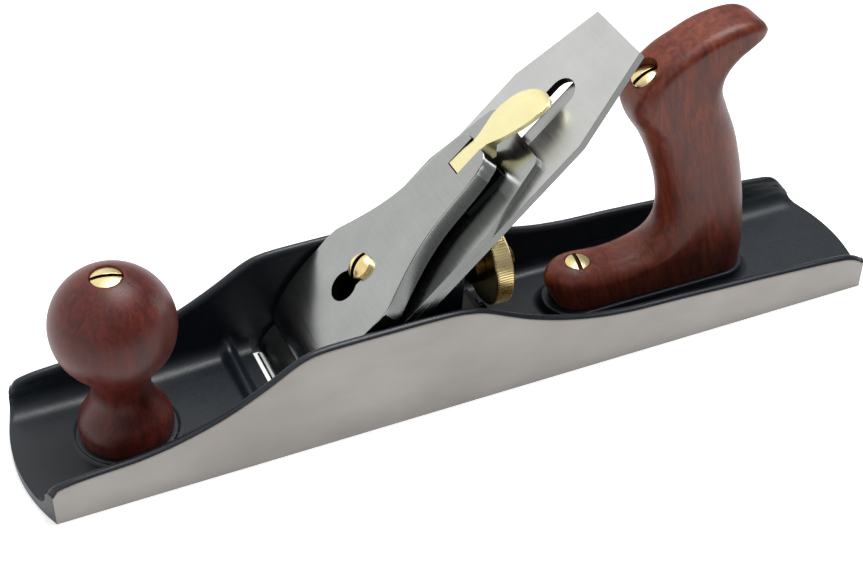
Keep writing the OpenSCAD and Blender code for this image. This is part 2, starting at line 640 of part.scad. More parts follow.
module lateral_pin() color("#a9acae") on_bed() translate([lateral_pin_s, 0, -blade_t - 8.6])
    cylinder(d = lateral_pin_d, h = 8.5);

// Blade and chipbreaker
module blade() color("#c9cac6") difference() {
    intersection() {
        on_bed() translate([0, 0, -blade_t]) linear_extrude(blade_t) polygon([
            [edge_back, -blade_w / 2], [blade_parallel, -blade_w / 2], [blade_l, -blade_top_w / 2],
            [blade_l, blade_top_w / 2],
            [blade_parallel, blade_w / 2], [edge_back, blade_w / 2]]);
        side_extrude(2 * blade_w) polygon([
            bed_pt(edge_back - over / tan(bevel_angle), over),
            bed_pt(edge_back + (blade_t + over) / tan(bevel_angle), -blade_t - over),
            bed_pt(blade_l + over, -blade_t - over), bed_pt(blade_l + over, over)]);
    }
    on_bed() translate([0, 0, -blade_t - over]) {
        slot_end = slot_top - slot_w / 2;
        translate([iron_hole_s, -slot_w / 2, 0]) cube([slot_end - iron_hole_s, slot_w, 10]);
        translate([slot_end, 0, 0]) cylinder(d = slot_w, h = 10);
        translate([iron_hole_s, 0, 0]) cylinder(d = iron_hole_d, h = 10);
    }
}

module chipbreaker() color("#bfc0bd") difference() {
    hump_s = 12;
    intersection() {
        side_extrude(2 * blade_w) polygon([for (p = concat(
            open_curve([[1.6, 0.5], [4, 2.3], [7.5, breaker_hump - 0.4], [hump_s, breaker_hump],
                        [17, breaker_hump - 0.35], [25, breaker_t]], curve_steps),
            [[breaker_top, breaker_t], [breaker_top, -over], [26 + 6 * over / 0.7, -over], [20, 0.7], [hump_s, 1],
             [6, 0.6], [2.4, 0], [2.2, -over], [1.6, -over]]))
            bed_pt(p[0], p[1])]);
        on_bed() linear_extrude(2 * breaker_hump) polygon([
            [0, -blade_w / 2], [105, -blade_w / 2], [breaker_top - 2, -breaker_top_w / 2 - 0.4],
            [breaker_top, -breaker_top_w / 2 + 1.6], [breaker_top, breaker_top_w / 2 - 1.6],
            [breaker_top - 2, breaker_top_w / 2 + 0.4], [105, blade_w / 2], [0, blade_w / 2]]);
    }
    on_bed() translate([0, 0, -over]) {
        translate([iron_screw_s, 0, 0]) cylinder(d = iron_screw_d + 2 * fit, h = 10);
        for (end = [-1, 1]) translate([cap_screw_s + end * (blade_travel + run_clear), 0, 0])
            cylinder(d = cap_screw_d + 2 * run_clear, h = 10);
        translate([cap_screw_s - blade_travel - run_clear, -cap_screw_d / 2 - run_clear, 0])
            cube([2 * (blade_travel + run_clear), cap_screw_d + 2 * run_clear, 10]);
        translate([y_tip_s - y_tip_d / 2 - y_tip_clear, -y_lever_t / 2 - run_clear, 0])
            cube([y_tip_d + 2 * y_tip_clear, y_lever_t + 2 * run_clear, 10]);
    }
}

module cap_iron_screw() color("#9a9da0") on_bed() translate([iron_screw_s, 0, -blade_t]) {
    translate([0, 0, -fit]) cylinder(d = iron_screw_d, h = blade_t + breaker_t + fit);
    mirror([0, 0, 1]) domed_head(iron_head_d, iron_head_t - 0.6, 0.6);
}

// Lever cap: a plate with a hooked rim, held by its screw and locked by the cam lever
cap_half = [[15.5, 25.6], [53, 26.3], [58, 26.4], [62, 25.7], [66, 23.6], [72, 20.8], [78, 18.3], [84, 16],
            [90, 14.4], [96, 13.4], [104, 12.7], [112, 12], [118, 11.1], [cap_end - 5, 10.4]];
cap_edge = concat(open_curve(cap_half, 3),
    [for (p = arc(5, 80, 0, 5)) [cap_end - 5, 5.3] + p]);
module cap_outline() polygon(concat(cap_edge, [for (i = [len(cap_edge) - 1:-1:0]) [cap_edge[i][0], -cap_edge[i][1]]]));
cap_under = cap_top - cap_plate_t;
cap_wall_foot = 6;
cap_ear_s = 108;
cam_half_w = 3.6;
cam_gap = 3.9;
cam_sweep_r = 7.6;

module lever_cap() color("#c4c5c1") difference() {
    intersection() {
        on_bed() linear_extrude(2 * cap_top) cap_outline();
        side_extrude(2 * blade_w) polygon([for (p = concat(
            [[16.4, breaker_hump + run_clear], [15.5, breaker_hump + 0.9], [17, 6.6], [20, 8.9], [24, 10.9],
             [30, 12.5], [37, 13.6], [45, cap_top], [cap_end + over, cap_top], [cap_end + over, cap_wall_foot],
             [56, cap_wall_foot], [55, cap_under - 0.8]],
            [[40, cap_under - 0.8], [32, cap_under - 2.2], [25, cap_under - 5]]))
            bed_pt(p[0], p[1])]);
    }
    on_bed() {
        // Hollow between the side walls
        difference() {
            linear_extrude(cap_under) offset(delta = -3) cap_outline();
            translate([cap_ear_s, -blade_w, -over]) cube([40, 2 * blade_w, 40]);
            translate([-over, -blade_w, -over]) cube([57 + over, 2 * blade_w, 40]);
        }
        translate([keyhole_s, 0, 0]) cylinder(d = keyhole_d, h = 30);
        translate([keyhole_s, -cap_screw_d / 2 - run_clear, 0])
            cube([cap_screw_s - keyhole_s, cap_screw_d + 2 * run_clear, 30]);
        translate([cap_screw_s, 0, 0]) cylinder(d = cap_screw_d + 2 * run_clear, h = 30);
        translate([cam_pin_s, 0, cam_pin_off]) {
            rod_y(2 * cam_sweep_r, 2 * cam_gap);
            translate([0, -cam_gap, -20]) cube([40, 2 * cam_gap, 40]);
            translate([-cam_sweep_r, -cam_gap, -20]) cube([40, 2 * cam_gap, 20]);
            rod_y(cam_pin_d + 2 * fit, 80);
        }
        translate([rivet_s, 0, 0]) cylinder(d = rivet_d + 2 * fit, h = cap_top - 1);
    }
}

module lever_cap_screw() color("#d9b45a") on_bed() {
    translate([cap_screw_s, 0, -cap_screw_depth]) cylinder(d = cap_screw_d, h = cap_screw_depth + cap_top + fit);
    translate([cap_screw_s, 0, cap_top]) rotate([0, 0, 22])
        domed_head(cap_screw_head_d, cap_screw_rim, cap_screw_dome, driver_slot + 0.4);
}

spring_foot = 104;
module lever_cap_spring() color("#8f9295") difference() {
    pad_w = 23;
    arm_w = 16;
    intersection() {
        side_extrude(pad_w) polygon([
            bed_pt(86, cap_under), bed_pt(86, cap_under - spring_t), bed_pt(97, cap_under - spring_t),
            bed_pt(spring_foot - 0.4, breaker_t), bed_pt(123.5, breaker_t), bed_pt(123.5, breaker_t + spring_t),
            bed_pt(spring_foot + 0.6, breaker_t + spring_t), bed_pt(98.2, cap_under)]);
        on_bed() union() {
            translate([80, -arm_w / 2, 0]) cube([30, arm_w, 30]);
            translate([spring_foot, -pad_w / 2, 0]) cube([30, pad_w, 30]);
        }
    }
    on_bed() translate([rivet_s, 0, 0]) cylinder(d = rivet_d + 2 * fit, h = 30);
}

module spring_rivet() color("#8f9295") on_bed() translate([rivet_s, 0, cap_under - spring_t]) {
    cylinder(d = rivet_d, h = cap_plate_t + spring_t - 1.2);
    translate([0, 0, -1]) cylinder(d = rivet_d + 2, h = 1);
}

// Cam lever: root, cam and a thumb pad that bends down behind the cap
cam_top = [[112.6, 13.9], [120, 13.6], [124, 13.2], [128, 12.9], [132, 12.2], [136, 11.7], [140, 10.9],
           [144, 9.8], [148, 8.7], [152, 6.9], [155.5, 4.8]];
cam_under = [[154.6, 3.6], [150.5, 5.6], [146.5, 7.1], [142, 8.3], [138, 9.3], [134, 9.9], [130, 9.7],
             [127.6, 6.6], [126.2, 4.9]];
cam_root_end = 123.5;
pad_half = [[cam_root_end, 3.3], [127, 3.3], [129.5, 4.2], [132, 5.3], [136, 6.9], [140, 7.8], [144, 8.2], [148, 7.9],
            [151.5, 6.8], [154.4, 4.4], [155.6, 0]];
module cam_plan() {
    edge = concat([[cam_pin_s - 6, cam_half_w], [cam_root_end, cam_half_w]], open_curve(pad_half, 3));
    polygon(concat(edge, [for (i = [len(edge) - 2:-1:0]) [edge[i][0], -edge[i][1]]]));
}
// The cam's round is set a little below its pin, so it lifts clear as the lever opens
cam_r = 4.7;
cam_offset = 0.4;
module cam_side() polygon([for (p = concat(cam_top, cam_under,
    [for (q = arc(cam_r, -30, -175, 14)) [cam_pin_s, cam_pin_off - cam_offset] + q])) bed_pt(p[0], p[1])]);
module cam_lever() color("#d9b45a") difference() {
    intersection() {
        side_extrude(40) cam_side();
        on_bed() linear_extrude(40) cam_plan();
    }
    on_bed() translate([cam_pin_s, 0, cam_pin_off]) rod_y(cam_pin_d + 2 * fit, 40);
}

module cam_pin() color("#d9b45a") on_bed() translate([cam_pin_s, 0, cam_pin_off]) rod_y(cam_pin_d, 21);

body_casting();
knob();
knob_stud();
knob_nut();
tote();
tote_stud();
tote_nut();
tote_toe_screw();
frog();
frog_pins();
frog_locking_screws();
frog_adjusting_screw();
frog_tab();
frog_tab_screw();
depth_stud();
depth_hub();
depth_wheel();
y_lever();
y_lever_pin();
lateral_lever();
lateral_disc();
lateral_pin();
blade();
chipbreaker();
cap_iron_screw();
lever_cap();
lever_cap_screw();
lever_cap_spring();
spring_rivet();
cam_lever();
cam_pin();
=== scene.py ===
"""A metal bench plane of the jack type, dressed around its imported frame.

Lengths in the classes are millimetres in the frame's axes: X from the toe to the heel, Y across with the near
cheek at negative Y, Z up. The mesh helpers turn them to metres. Two slanting systems are used besides: the bed,
where s runs up the blade from the cutting edge and off stands square to it, and the ramp under the frog.
"""

import logging
import math
from dataclasses import dataclass
from enum import Enum
from typing import Callable, Optional, Sequence

import bmesh
import bpy
import numpy as np
from mathutils import Matrix, Vector


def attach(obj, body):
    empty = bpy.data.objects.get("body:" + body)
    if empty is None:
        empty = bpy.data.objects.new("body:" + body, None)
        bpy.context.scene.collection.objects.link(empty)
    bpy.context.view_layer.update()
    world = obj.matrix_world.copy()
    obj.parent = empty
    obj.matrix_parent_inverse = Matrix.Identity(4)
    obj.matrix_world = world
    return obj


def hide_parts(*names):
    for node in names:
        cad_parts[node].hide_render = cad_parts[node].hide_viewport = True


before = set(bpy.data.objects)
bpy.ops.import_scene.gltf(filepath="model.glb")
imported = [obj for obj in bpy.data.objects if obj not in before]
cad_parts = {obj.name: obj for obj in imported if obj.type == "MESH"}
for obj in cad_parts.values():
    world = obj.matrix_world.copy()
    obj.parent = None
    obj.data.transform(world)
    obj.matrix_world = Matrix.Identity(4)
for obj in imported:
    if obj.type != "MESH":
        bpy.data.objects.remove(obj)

Array = np.ndarray
Triple = tuple[float, float, float]
MM = 0.001
PHOTO_WIDTH_PX = 863
log = logging.getLogger("bench_plane")


class Body(Enum):
    """Names of the moving groups that a piece can ride on."""

    PLANE = "plane_body"
    FROG = "frog_unit"
    FROG_SCREW = "frog_screw"
    SLEEVE = "depth_sleeve"
    DIAL = "depth_dial"
    Y_LEVER = "y_lever"
    BLADE = "blade_set"
    LATERAL = "lateral_adjuster"
    CAP = "lever_cap_unit"
    CAM = "cam"


class Slot(Enum):
    """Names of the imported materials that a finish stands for."""

    BLACK_IRON = "black_iron"
    STEEL = "steel"
    PLAIN_STEEL = "plain_steel"
    BRASS = "brass"
    RED_WOOD = "red_wood"


# ---------------------------------------------------------------- colours and shader nodes


def linear(colour: str) -> tuple[float, float, float, float]:
    """Turns an sRGB hex colour to linear light: c/12.92 below 0.04045, else ((c + 0.055)/1.055)^2.4.

    Args:
        colour: six hex digits after a #.

    Returns:
        Red, green, blue and an alpha of 1.
    """
    parts = np.array([int(colour[i:i + 2], 16) for i in (1, 3, 5)]) / 255
    light = np.where(parts <= 0.04045, parts / 12.92, ((parts + 0.055) / 1.055) ** 2.4)
    return (*light.tolist(), 1.0)


def add_node(
        tree: bpy.types.NodeTree, kind: str, inputs: Optional[dict] = None, output: int | str = 0,
        stops: Sequence[tuple[float, str]] = (), **settings) -> Optional[bpy.types.NodeSocket]:
    """Adds one shader node with its settings and links.

    Args:
        tree: the node tree.
        kind: Blender's name of the node type.
        inputs: values for its sockets, where a socket as the value makes a link.
        output: name or number of the wanted output.
        stops: pairs of place and hex colour on a colour ramp, in rising order.
        settings: attributes of the node itself.

    Returns:
        The wanted output, or None for a node that has no outputs.
    """
    node = tree.nodes.new(kind)
    for name, value in settings.items():
        setattr(node, name, value)
    for name, value in (inputs or {}).items():
        if isinstance(value, bpy.types.NodeSocket):
            tree.links.new(value, node.inputs[name])
        else:
            node.inputs[name].default_value = value
    for index, (place, colour) in enumerate(stops):
        elements = node.color_ramp.elements
        element = elements[index] if index < len(elements) else elements.new(place)
        element.position, element.color = place, linear(colour)
    return node.outputs[output] if node.outputs else None


def pattern(
        tree: bpy.types.NodeTree, cell_mm: Triple, detail: float, roughness: float = 0.55, distortion: float = 0.0,
        turn: Triple = (0, 0, 0)) -> bpy.types.NodeSocket:
    """A cloudy pattern whose cells have a real size: noise of the turned place on the piece over the cell's size.

    Args:
        tree: the node tree.
        cell_mm: size of one cell along X, Y and Z.
        detail: number of finer layers.
        roughness: share of each finer layer.
        distortion: how far the pattern is warped.
        turn: turn of the pattern, in degrees.

    Returns:
        The pattern's value, 0 to 1.
    """
    place = add_node(tree, "ShaderNodeTexCoord", output="Object")
    turned = add_node(tree, "ShaderNodeMapping", {"Vector": place, "Rotation": [math.radians(a) for a in turn]})
    scaled = add_node(tree, "ShaderNodeMapping", {"Vector": turned, "Scale": [1 / (MM * c) for c in cell_mm]})
    inputs = {"Vector": scaled, "Scale": 1.0, "Detail": detail, "Roughness": roughness, "Distortion": distortion}
    return add_node(tree, "ShaderNodeTexNoise", inputs)


# ---------------------------------------------------------------- finishes


@dataclass(frozen=True)
class Finish:
    """One real finish, made into a material once and shared."""

    name: str
    slot: Slot
    rough_low: float
    rough_high: float

    def material(self) -> bpy.types.Material:
        """Makes the material on first use.

        Returns:
            The Blender material of this finish.
        """
        found = bpy.data.materials.get(self.name)
        if found is not None:
            return found
        material = bpy.data.materials.new(self.name)
        material.use_nodes = True
        tree = material.node_tree
        self.shade(tree, tree.nodes["Principled BSDF"])
        return material

    def shade(self, tree: bpy.types.NodeTree, surface: bpy.types.Node) -> None:
        """Fills in the surface shader."""
        raise NotImplementedError

    def lay(
            self, tree: bpy.types.NodeTree, surface: bpy.types.Node, colour: bpy.types.NodeSocket,
            gloss: bpy.types.NodeSocket, heights: Sequence[tuple[bpy.types.NodeSocket, float]]) -> None:
        """Links colour, roughness and relief to the surface shader.

        The roughness goes from its low to its high value while its pattern goes from 0.3 to 0.7. Each height is a
        bump of its own depth over the one before.

        Args:
            tree: the node tree.
            surface: the surface shader.
            colour: the colour.
            gloss: the pattern that the roughness follows.
            heights: pairs of a pattern and its depth in millimetres.
        """
        tree.links.new(colour, surface.inputs["Base Color"])
        inputs = {"Value": gloss, "From Min": 0.3, "From Max": 0.7, "To Min": self.rough_low, "To Max": self.rough_high}
        tree.links.new(add_node(tree, "ShaderNodeMapRange", inputs), surface.inputs["Roughness"])
        bump = {"Strength": 1.0}
        for height, depth_mm in heights:
            bump |= {"Height": height, "Distance": depth_mm * MM}
            bump["Normal"] = add_node(tree, "ShaderNodeBump", bump)
        tree.links.new(bump["Normal"], surface.inputs["Normal"])


@dataclass(frozen=True)
class CastEnamel(Finish):
    """Satin blue-black enamel sprayed on sand-cast iron: soft orange peel over faint lumps of the mould."""

    name: str = "sprayed_enamel_on_cast_iron"
    slot: Slot = Slot.BLACK_IRON
    rough_low: float = 0.36
    rough_high: float = 0.46
    dark: str = "#091017"
    light: str = "#0f1922"
    ior: float = 1.5
    peel_mm: float = 1.1
    peel_depth_mm: float = 0.018
    lump_mm: float = 7.0
    lump_depth_mm: float = 0.05

    def shade(self, tree: bpy.types.NodeTree, surface: bpy.types.Node) -> None:
        """Dark base with slightly uneven gloss, and two scales of relief.

        Args:
            tree: the node tree.
            surface: the surface shader.
        """
        lumps = pattern(tree, (self.lump_mm,) * 3, 3)
        peel = pattern(tree, (self.peel_mm,) * 3, 2)
        stops = ((0.3, self.dark), (0.7, self.light))
        colour = add_node(tree, "ShaderNodeValToRGB", {"Fac": lumps}, stops=stops)
        self.lay(tree, surface, colour, peel, [(lumps, self.lump_depth_mm), (peel, self.peel_depth_mm)])
        surface.inputs["IOR"].default_value = self.ior


@dataclass(frozen=True)
class WorkedMetal(Finish):
    """Bare metal that a belt, wheel or lathe has gone over: fine lines over broad clouds where it dulled."""

    dark: str
    light: str
    # The real grit lines are near 0.1 mm; they are drawn a little coarser so that they show.
    line_mm: Triple = (0.4, 16.0, 0.4)
    line_turn: Triple = (0, 0, 0)
    line_depth_mm: float = 0.003
    cloud_mm: Triple = (22.0, 16.0, 22.0)
    cloud_detail: float = 4
    cloud_share: float = 0.6
    # Where on the mixed pattern the dark and the light colour stand.
    colour_span: tuple[float, float] = (0.34, 0.66)

    def shade(self, tree: bpy.types.NodeTree, surface: bpy.types.Node) -> None:
        """Colours the mix of lines × (1 − share) and clouds × share; gloss and relief follow the lines.

        Args:
            tree: the node tree.
            surface: the surface shader.
        """
        lines = pattern(tree, self.line_mm, 2, turn=self.line_turn)
        clouds = pattern(tree, self.cloud_mm, self.cloud_detail)
        mixed = add_node(tree, "ShaderNodeMix", {0: self.cloud_share, 2: lines, 3: clouds})
        stops = tuple(zip(self.colour_span, (self.dark, self.light)))
        colour = add_node(tree, "ShaderNodeValToRGB", {"Fac": mixed}, stops=stops)
        self.lay(tree, surface, colour, lines, [(lines, self.line_depth_mm)])
        surface.inputs["Metallic"].default_value = 1.0


@dataclass(frozen=True)
class GroundIron(WorkedMetal):
    """Grey iron ground on a belt: warm grey, straight fine lines along the cheek, cloudy patches."""

    name: str = "belt_ground_grey_iron"
    slot: Slot = Slot.BLACK_IRON
    rough_low: float = 0.42
    rough_high: float = 0.56
    dark: str = "#8a8682"
    light: str = "#9d9995"
    line_mm: Triple = (24.0, 0.4, 0.35)
    line_depth_mm: float = 0.005
    cloud_mm: Triple = (34.0, 20.0, 20.0)
    cloud_detail: float = 3
    cloud_share: float = 0.62
    colour_span: tuple[float, float] = (0.3, 0.7)


@dataclass(frozen=True)
class GroundSteel(WorkedMetal):
    """Tool steel ground flat and lapped: even light grey, fine cross lines, a soft broad sheen."""

    name: str = "surface_ground_steel"
    slot: Slot = Slot.STEEL
    rough_low: float = 0.3
    rough_high: float = 0.42
    dark: str = "#c3c4c1"
    light: str = "#d0d1ce"


@dataclass(frozen=True)
class TurnedSteel(WorkedMetal):
    """Plain bar steel turned in a lathe, darker and glossier than the blade."""

    name: str = "turned_bar_steel"
    slot: Slot = Slot.PLAIN_STEEL
    rough_low: float = 0.28
    rough_high: float = 0.42
    dark: str = "#7f8284"
    light: str = "#a2a5a6"


@dataclass(frozen=True)
class PolishedBrass(WorkedMetal):
    """Yellow brass, buffed: warm mirror with soft wheel marks and a slightly deeper tone in places."""

    name: str = "buffed_yellow_brass"
    slot: Slot = Slot.BRASS
    rough_low: float = 0.26
    rough_high: float = 0.36
    dark: str = "#eed699"
    light: str = "#f6e3aa"
    line_mm: Triple = (3.0, 0.5, 0.5)
    line_turn: Triple = (0, 30, 0)
    cloud_mm: Triple = (9.0, 9.0, 9.0)
    cloud_detail: float = 3
    cloud_share: float = 1.0
    colour_span: tuple[float, float] = (0.35, 0.65)


@dataclass(frozen=True)
class OiledHardwood(Finish):
    """Red-brown tropical hardwood, oiled and rubbed: long dark growth bands, short open pores, a low sheen."""

    name: str = "oiled_red_hardwood"
    slot: Slot = Slot.RED_WOOD
    rough_low: float = 0.34
    rough_high: float = 0.46
    deep: str = "#361411"
    mid: str = "#5a2119"
    warm: str = "#792f22"
    pore: str = "#200c0a"
    band_mm: Triple = (2.6, 3.4, 46.0)
    band_depth_mm: float = 0.02
    figure_mm: Triple = (26.0, 26.0, 34.0)
    figure_share: float = 0.35
    # Pores are about 0.2 mm wide and 2 to 4 mm long.
    pore_mm: Triple = (0.42, 0.42, 4.0)
    pore_depth_mm: float = 0.04
    turn: Triple = (0, 0, 0)
    ior: float = 1.4
    oil_weight: float = 0.08
    oil_roughness: float = 0.3

    def shade(self, tree: bpy.types.NodeTree, surface: bpy.types.Node) -> None:
        """Bands along the grain, cross figure, and pores cut into both colour and relief.

        Args:
            tree: the node tree.
            surface: the surface shader.
        """
        bands = pattern(tree, self.band_mm, 4, 0.6, 1.2, self.turn)
        figure = pattern(tree, self.figure_mm, 3, 0.5, 0.6, self.turn)
        pores = pattern(tree, self.pore_mm, 2, 0.6, 0.0, self.turn)
        grain = add_node(tree, "ShaderNodeMix", {0: self.figure_share, 2: bands, 3: figure})
        stops = ((0.3, self.deep), (0.5, self.mid), (0.72, self.warm))
        tone = add_node(tree, "ShaderNodeValToRGB", {"Fac": grain}, stops=stops)
        inputs = {"Value": pores, "From Min": 0.56, "From Max": 0.74, "To Min": 0.0, "To Max": 0.62}
        pits = add_node(tree, "ShaderNodeMapRange", inputs)
        inputs = {"Value": pores, "From Min": 0.52, "From Max": 0.74, "To Min": 1.0, "To Max": 0.0}
        sunk = add_node(tree, "ShaderNodeMapRange", inputs)
        colour = add_node(tree, "ShaderNodeMix", {0: pits, 6: tone, 7: linear(self.pore)}, 2, data_type="RGBA")
        self.lay(tree, surface, colour, grain, [(bands, self.band_depth_mm), (sunk, self.pore_depth_mm)])
        surface.inputs["IOR"].default_value = self.ior
        surface.inputs["Coat Weight"].default_value = self.oil_weight
        surface.inputs["Coat Roughness"].default_value = self.oil_roughness


# Castings: paint inside, bare ground sides and sole.
ENAMEL = CastEnamel()
IRON = GroundIron()
# The blade's flats, light and soft; the plated chipbreaker and lever cap, greyer and glossier, so that they mirror the
# dark casting; and a darker mid grey on their sides and edges.
STEEL = GroundSteel()
PLATE = GroundSteel(name="lapped_nickel_plate", rough_low=0.17, rough_high=0.25, dark="#a3a5a3", light="#b0b2b0")
SIDE_GREY = GroundSteel(name="darker_side_grey", rough_low=0.24, rough_high=0.34, dark="#717371", light="#7f817f")
# Small steel parts: bright from the lathe, blacked in oil, and near-black painted shade for slot walls and hollows.
BAR = TurnedSteel()
BLUED = TurnedSteel(name="oil_blacked_steel", dark="#1b1d20", light="#2a2c2f")
SHADE_BLACK = TurnedSteel(name="painted_shade_near_black", rough_low=0.6, rough_high=0.8, dark="#0d0d0d", light="#1c1a18")
# Brass: buffed nuts and wheel, the paler cam lever, and dark brown painted shade for slots, undersides and the shaded
# hub.
BRASS = PolishedBrass()
PALE_BRASS = PolishedBrass(name="polished_cast_brass", dark="#f9edb4", light="#fdf4c0")
SHADE_BRASS = PolishedBrass(
    name="painted_shade_brass", rough_low=0.5, rough_high=0.7, dark="#2c1f10", light="#47331a")
HUB_SHADE_BRASS = PolishedBrass(name="hub_painted_shade_brass", rough_low=0.3, rough_high=0.45, dark="#4c3a1e", light="#6b532c")
# The knob is turned with its grain upright; the tote's grain follows its grip, which leans towards the heel.
KNOB_WOOD = OiledHardwood(name="oiled_red_hardwood_knob")
TOTE_WOOD = OiledHardwood(
    name="oiled_red_hardwood_tote", deep="#3c170f", mid="#6d2e1d", warm="#964a30", turn=(0, 12, 0),
    band_mm=(3.6, 4.6, 20.0))


# ---------------------------------------------------------------- curves, frames and meshes


def smooth_curve(points: Sequence[Sequence[float]], samples: int) -> Array:
    """A smooth line through given points: on each span p = ½(2b + (c−a)t + (2a−5b+4c−d)t² + (3b−a−3c+d)t³).

    Args:
        points: the points, in any number of dimensions.
        samples: how many points to return, evenly spread over the spans.

    Returns:
        An array of samples rows.
    """
    given = np.asarray(points, float)
    padded = np.vstack([2 * given[0] - given[1], given, 2 * given[-1] - given[-2]])
    place = np.linspace(0, len(given) - 1, samples)
    span = np.minimum(place.astype(int), len(given) - 2)
    t = (place - span)[:, None]
    a, b, c, d = padded[span], padded[span + 1], padded[span + 2], padded[span + 3]
    return 0.5 * (2 * b + (c - a) * t + (2 * a - 5 * b + 4 * c - d) * t ** 2 + (3 * b - a - 3 * c + d) * t ** 3)


def profile(points: Sequence[Sequence[float]], at: Array, samples: int = 600) -> Array:
    """Height of a smooth curve over given places along its first axis.

    Args:
        points: the points that the curve goes through.
        at: the places.
        samples: how finely the curve is worked out.

    Returns:
        One height for each place.
    """
    curve = smooth_curve(points, samples)
    order = np.argsort(curve[:, 0])
    return np.interp(at, curve[order, 0], curve[order, 1])


def arc(radius_a: Array | float, radius_b: Array | float, start: float, end: float, steps: int) -> tuple[Array, Array]:
    """Offsets (a cos θ, b sin θ) of an ellipse from start to end degrees, as two arrays of steps values."""
    angle = np.radians(np.linspace(start, end, steps))
    return np.multiply.outer(radius_a, np.cos(angle)), np.multiply.outer(radius_b, np.sin(angle))


# The bed rises from the cutting edge, and the ramp starts a little behind and above it.
EDGE_X = -75.4
BED = math.radians(43.5)
RAMP = math.radians(10)
RAMP_START = (EDGE_X + 10.4, 5.2)


def bed_point(s: Array | float, off: Array | float, y: Array | float = 0.0) -> Array:
    """Frame coordinates of a place on the bed: edge + s along the slope + off square to it.

    Args:
        s: distance up the blade from the cutting edge.
        off: height above the blade's upper face.
        y: place across the plane.

    Returns:
        An array whose last axis is x, y, z.
    """
    s, off, y = np.broadcast_arrays(np.asarray(s, float), np.asarray(off, float), np.asarray(y, float))
    x = EDGE_X + s * math.cos(BED) - off * math.sin(BED)
    z = s * math.sin(BED) + off * math.cos(BED)
    return np.stack([x, y, z], -1)


# The direction square to the bed, and two places that several pieces share.
BED_UP = bed_point(0, 1) - bed_point(0, 0)
CAP_SCREW_S, CAP_TOP = 61.8, 14.0
KNOB_X = -135.1


def on_bed(points: Array) -> tuple[Array, Array, Array]:
    """s, off and y of points given in the frame's coordinates; the inverse of bed_point."""
    x, z = points[:, 0] - EDGE_X, points[:, 2]
    return x * math.cos(BED) + z * math.sin(BED), z * math.cos(BED) - x * math.sin(BED), points[:, 1]


def ramp_point(u: float, v: float) -> tuple[float, float]:
    """x and z of a place on the frog's ramp, u along it and v square to it."""
    x, z = RAMP_START
    return (x + u * math.cos(RAMP) - v * math.sin(RAMP), z + u * math.sin(RAMP) + v * math.cos(RAMP))


@dataclass
class Shell:
    """Points in millimetres and faces of a closed surface."""

    points: Array
    faces: list


class Cap(Enum):
    """How the ends of a skinned row of rings are closed."""

    FAN = "triangles to the middle"
    FLAT = "one face"
    STRIP = "the first half of the end ring joined to the second half taken backwards"


def loft(rings: Array, cap: Cap = Cap.FAN) -> Shell:
    """Skins a row of closed rings and closes both ends.

    Args:
        rings: points as (ring, place round the ring, xyz), every ring running the same way.
        cap: how the ends are closed.

    Returns:
        The closed shell.
    """
    rows, size = rings.shape[:2]
    index = np.arange(rows * size).reshape(rows, size)
    nxt = np.roll(index, -1, axis=1)
    quads = np.stack([index[:-1], nxt[:-1], nxt[1:], index[1:]], -1).reshape(-1, 4).tolist()
    points = rings.reshape(-1, 3)
    first, last = index[0], index[-1]
    if cap is Cap.FAN:
        points = np.vstack([points, rings[0].mean(0), rings[-1].mean(0)])
        a, b = rows * size, rows * size + 1
        quads += np.stack([np.roll(first, -1), first, np.full(size, a)], -1).tolist()
        quads += np.stack([last, np.roll(last, -1), np.full(size, b)], -1).tolist()
    elif cap is Cap.FLAT:
        quads += [first[::-1].tolist(), last.tolist()]
    else:
        half = size // 2
        for ring, turn in ((first, 1), (last, -1)):
            top, under = ring[:half], ring[half:][::-1]
            strip = np.stack([top[1:], top[:-1], under[:-1], under[1:]], -1)
            quads += strip[:, ::turn].tolist()
    return Shell(points, quads)


def lathe(outline: Sequence[Sequence[float]], centre: tuple[float, float], steps: int = 96) -> Shell:
    """Turns an outline of (radius, z) about an upright axis: x = cx + r cos θ, y = cy + r sin θ.

    Args:
        outline: the outline from the bottom to the top, starting and ending on the axis.
        centre: x and y of the axis.
        steps: faces round the axis.

    Returns:
        The closed shell.
    """
    radius, height = np.asarray(outline, float).T
    angle = np.linspace(0, 2 * math.pi, steps, endpoint=False)
    x = centre[0] + np.multiply.outer(radius, np.cos(angle))
    y = centre[1] + np.multiply.outer(radius, np.sin(angle))
    z = np.broadcast_to(height[:, None], x.shape)
    return loft(np.stack([x, y, z], -1))


def prism(outline: Sequence[Sequence[float]], width: float) -> Shell:
    """A side outline of (x, z) carried straight across the plane by half the width to each side.

    Args:
        outline: the outline.
        width: the whole width.

    Returns:
        The closed shell.
    """
    flat = np.asarray(outline, float)
    rings = np.stack([np.stack([flat[:, 0], np.full(len(flat), y), flat[:, 1]], -1) for y in (-width / 2, width / 2)])
    return loft(rings, Cap.FLAT)


def linked(name: str, data: bpy.types.ID) -> bpy.types.Object:
    """Puts a mesh, a lamp or a camera into the scene.

    Args:
        name: the object's name.
        data: what it shows.

    Returns:
        The new object, at the origin.
    """
    obj = bpy.data.objects.new(name, data)
    bpy.context.scene.collection.objects.link(obj)
    return obj


def make_object(name: str, shell: Shell) -> bpy.types.Object:
    """Puts a shell into a new mesh object at the origin, welded and facing outwards.

    Args:
        name: the object's name.
        shell: its points and faces.

    Returns:
        The object, linked into the scene.
    """
    weld = 0.002 * MM
    mesh = bpy.data.meshes.new(name)
    mesh.from_pydata((shell.points * MM).tolist(), [], shell.faces)
    work = bmesh.new()
    work.from_mesh(mesh)
    bmesh.ops.remove_doubles(work, verts=work.verts, dist=weld)
    bmesh.ops.dissolve_degenerate(work, edges=work.edges, dist=weld)
    bmesh.ops.recalc_face_normals(work, faces=work.faces)
    work.to_mesh(mesh)
    work.free()
    return linked(name, mesh)


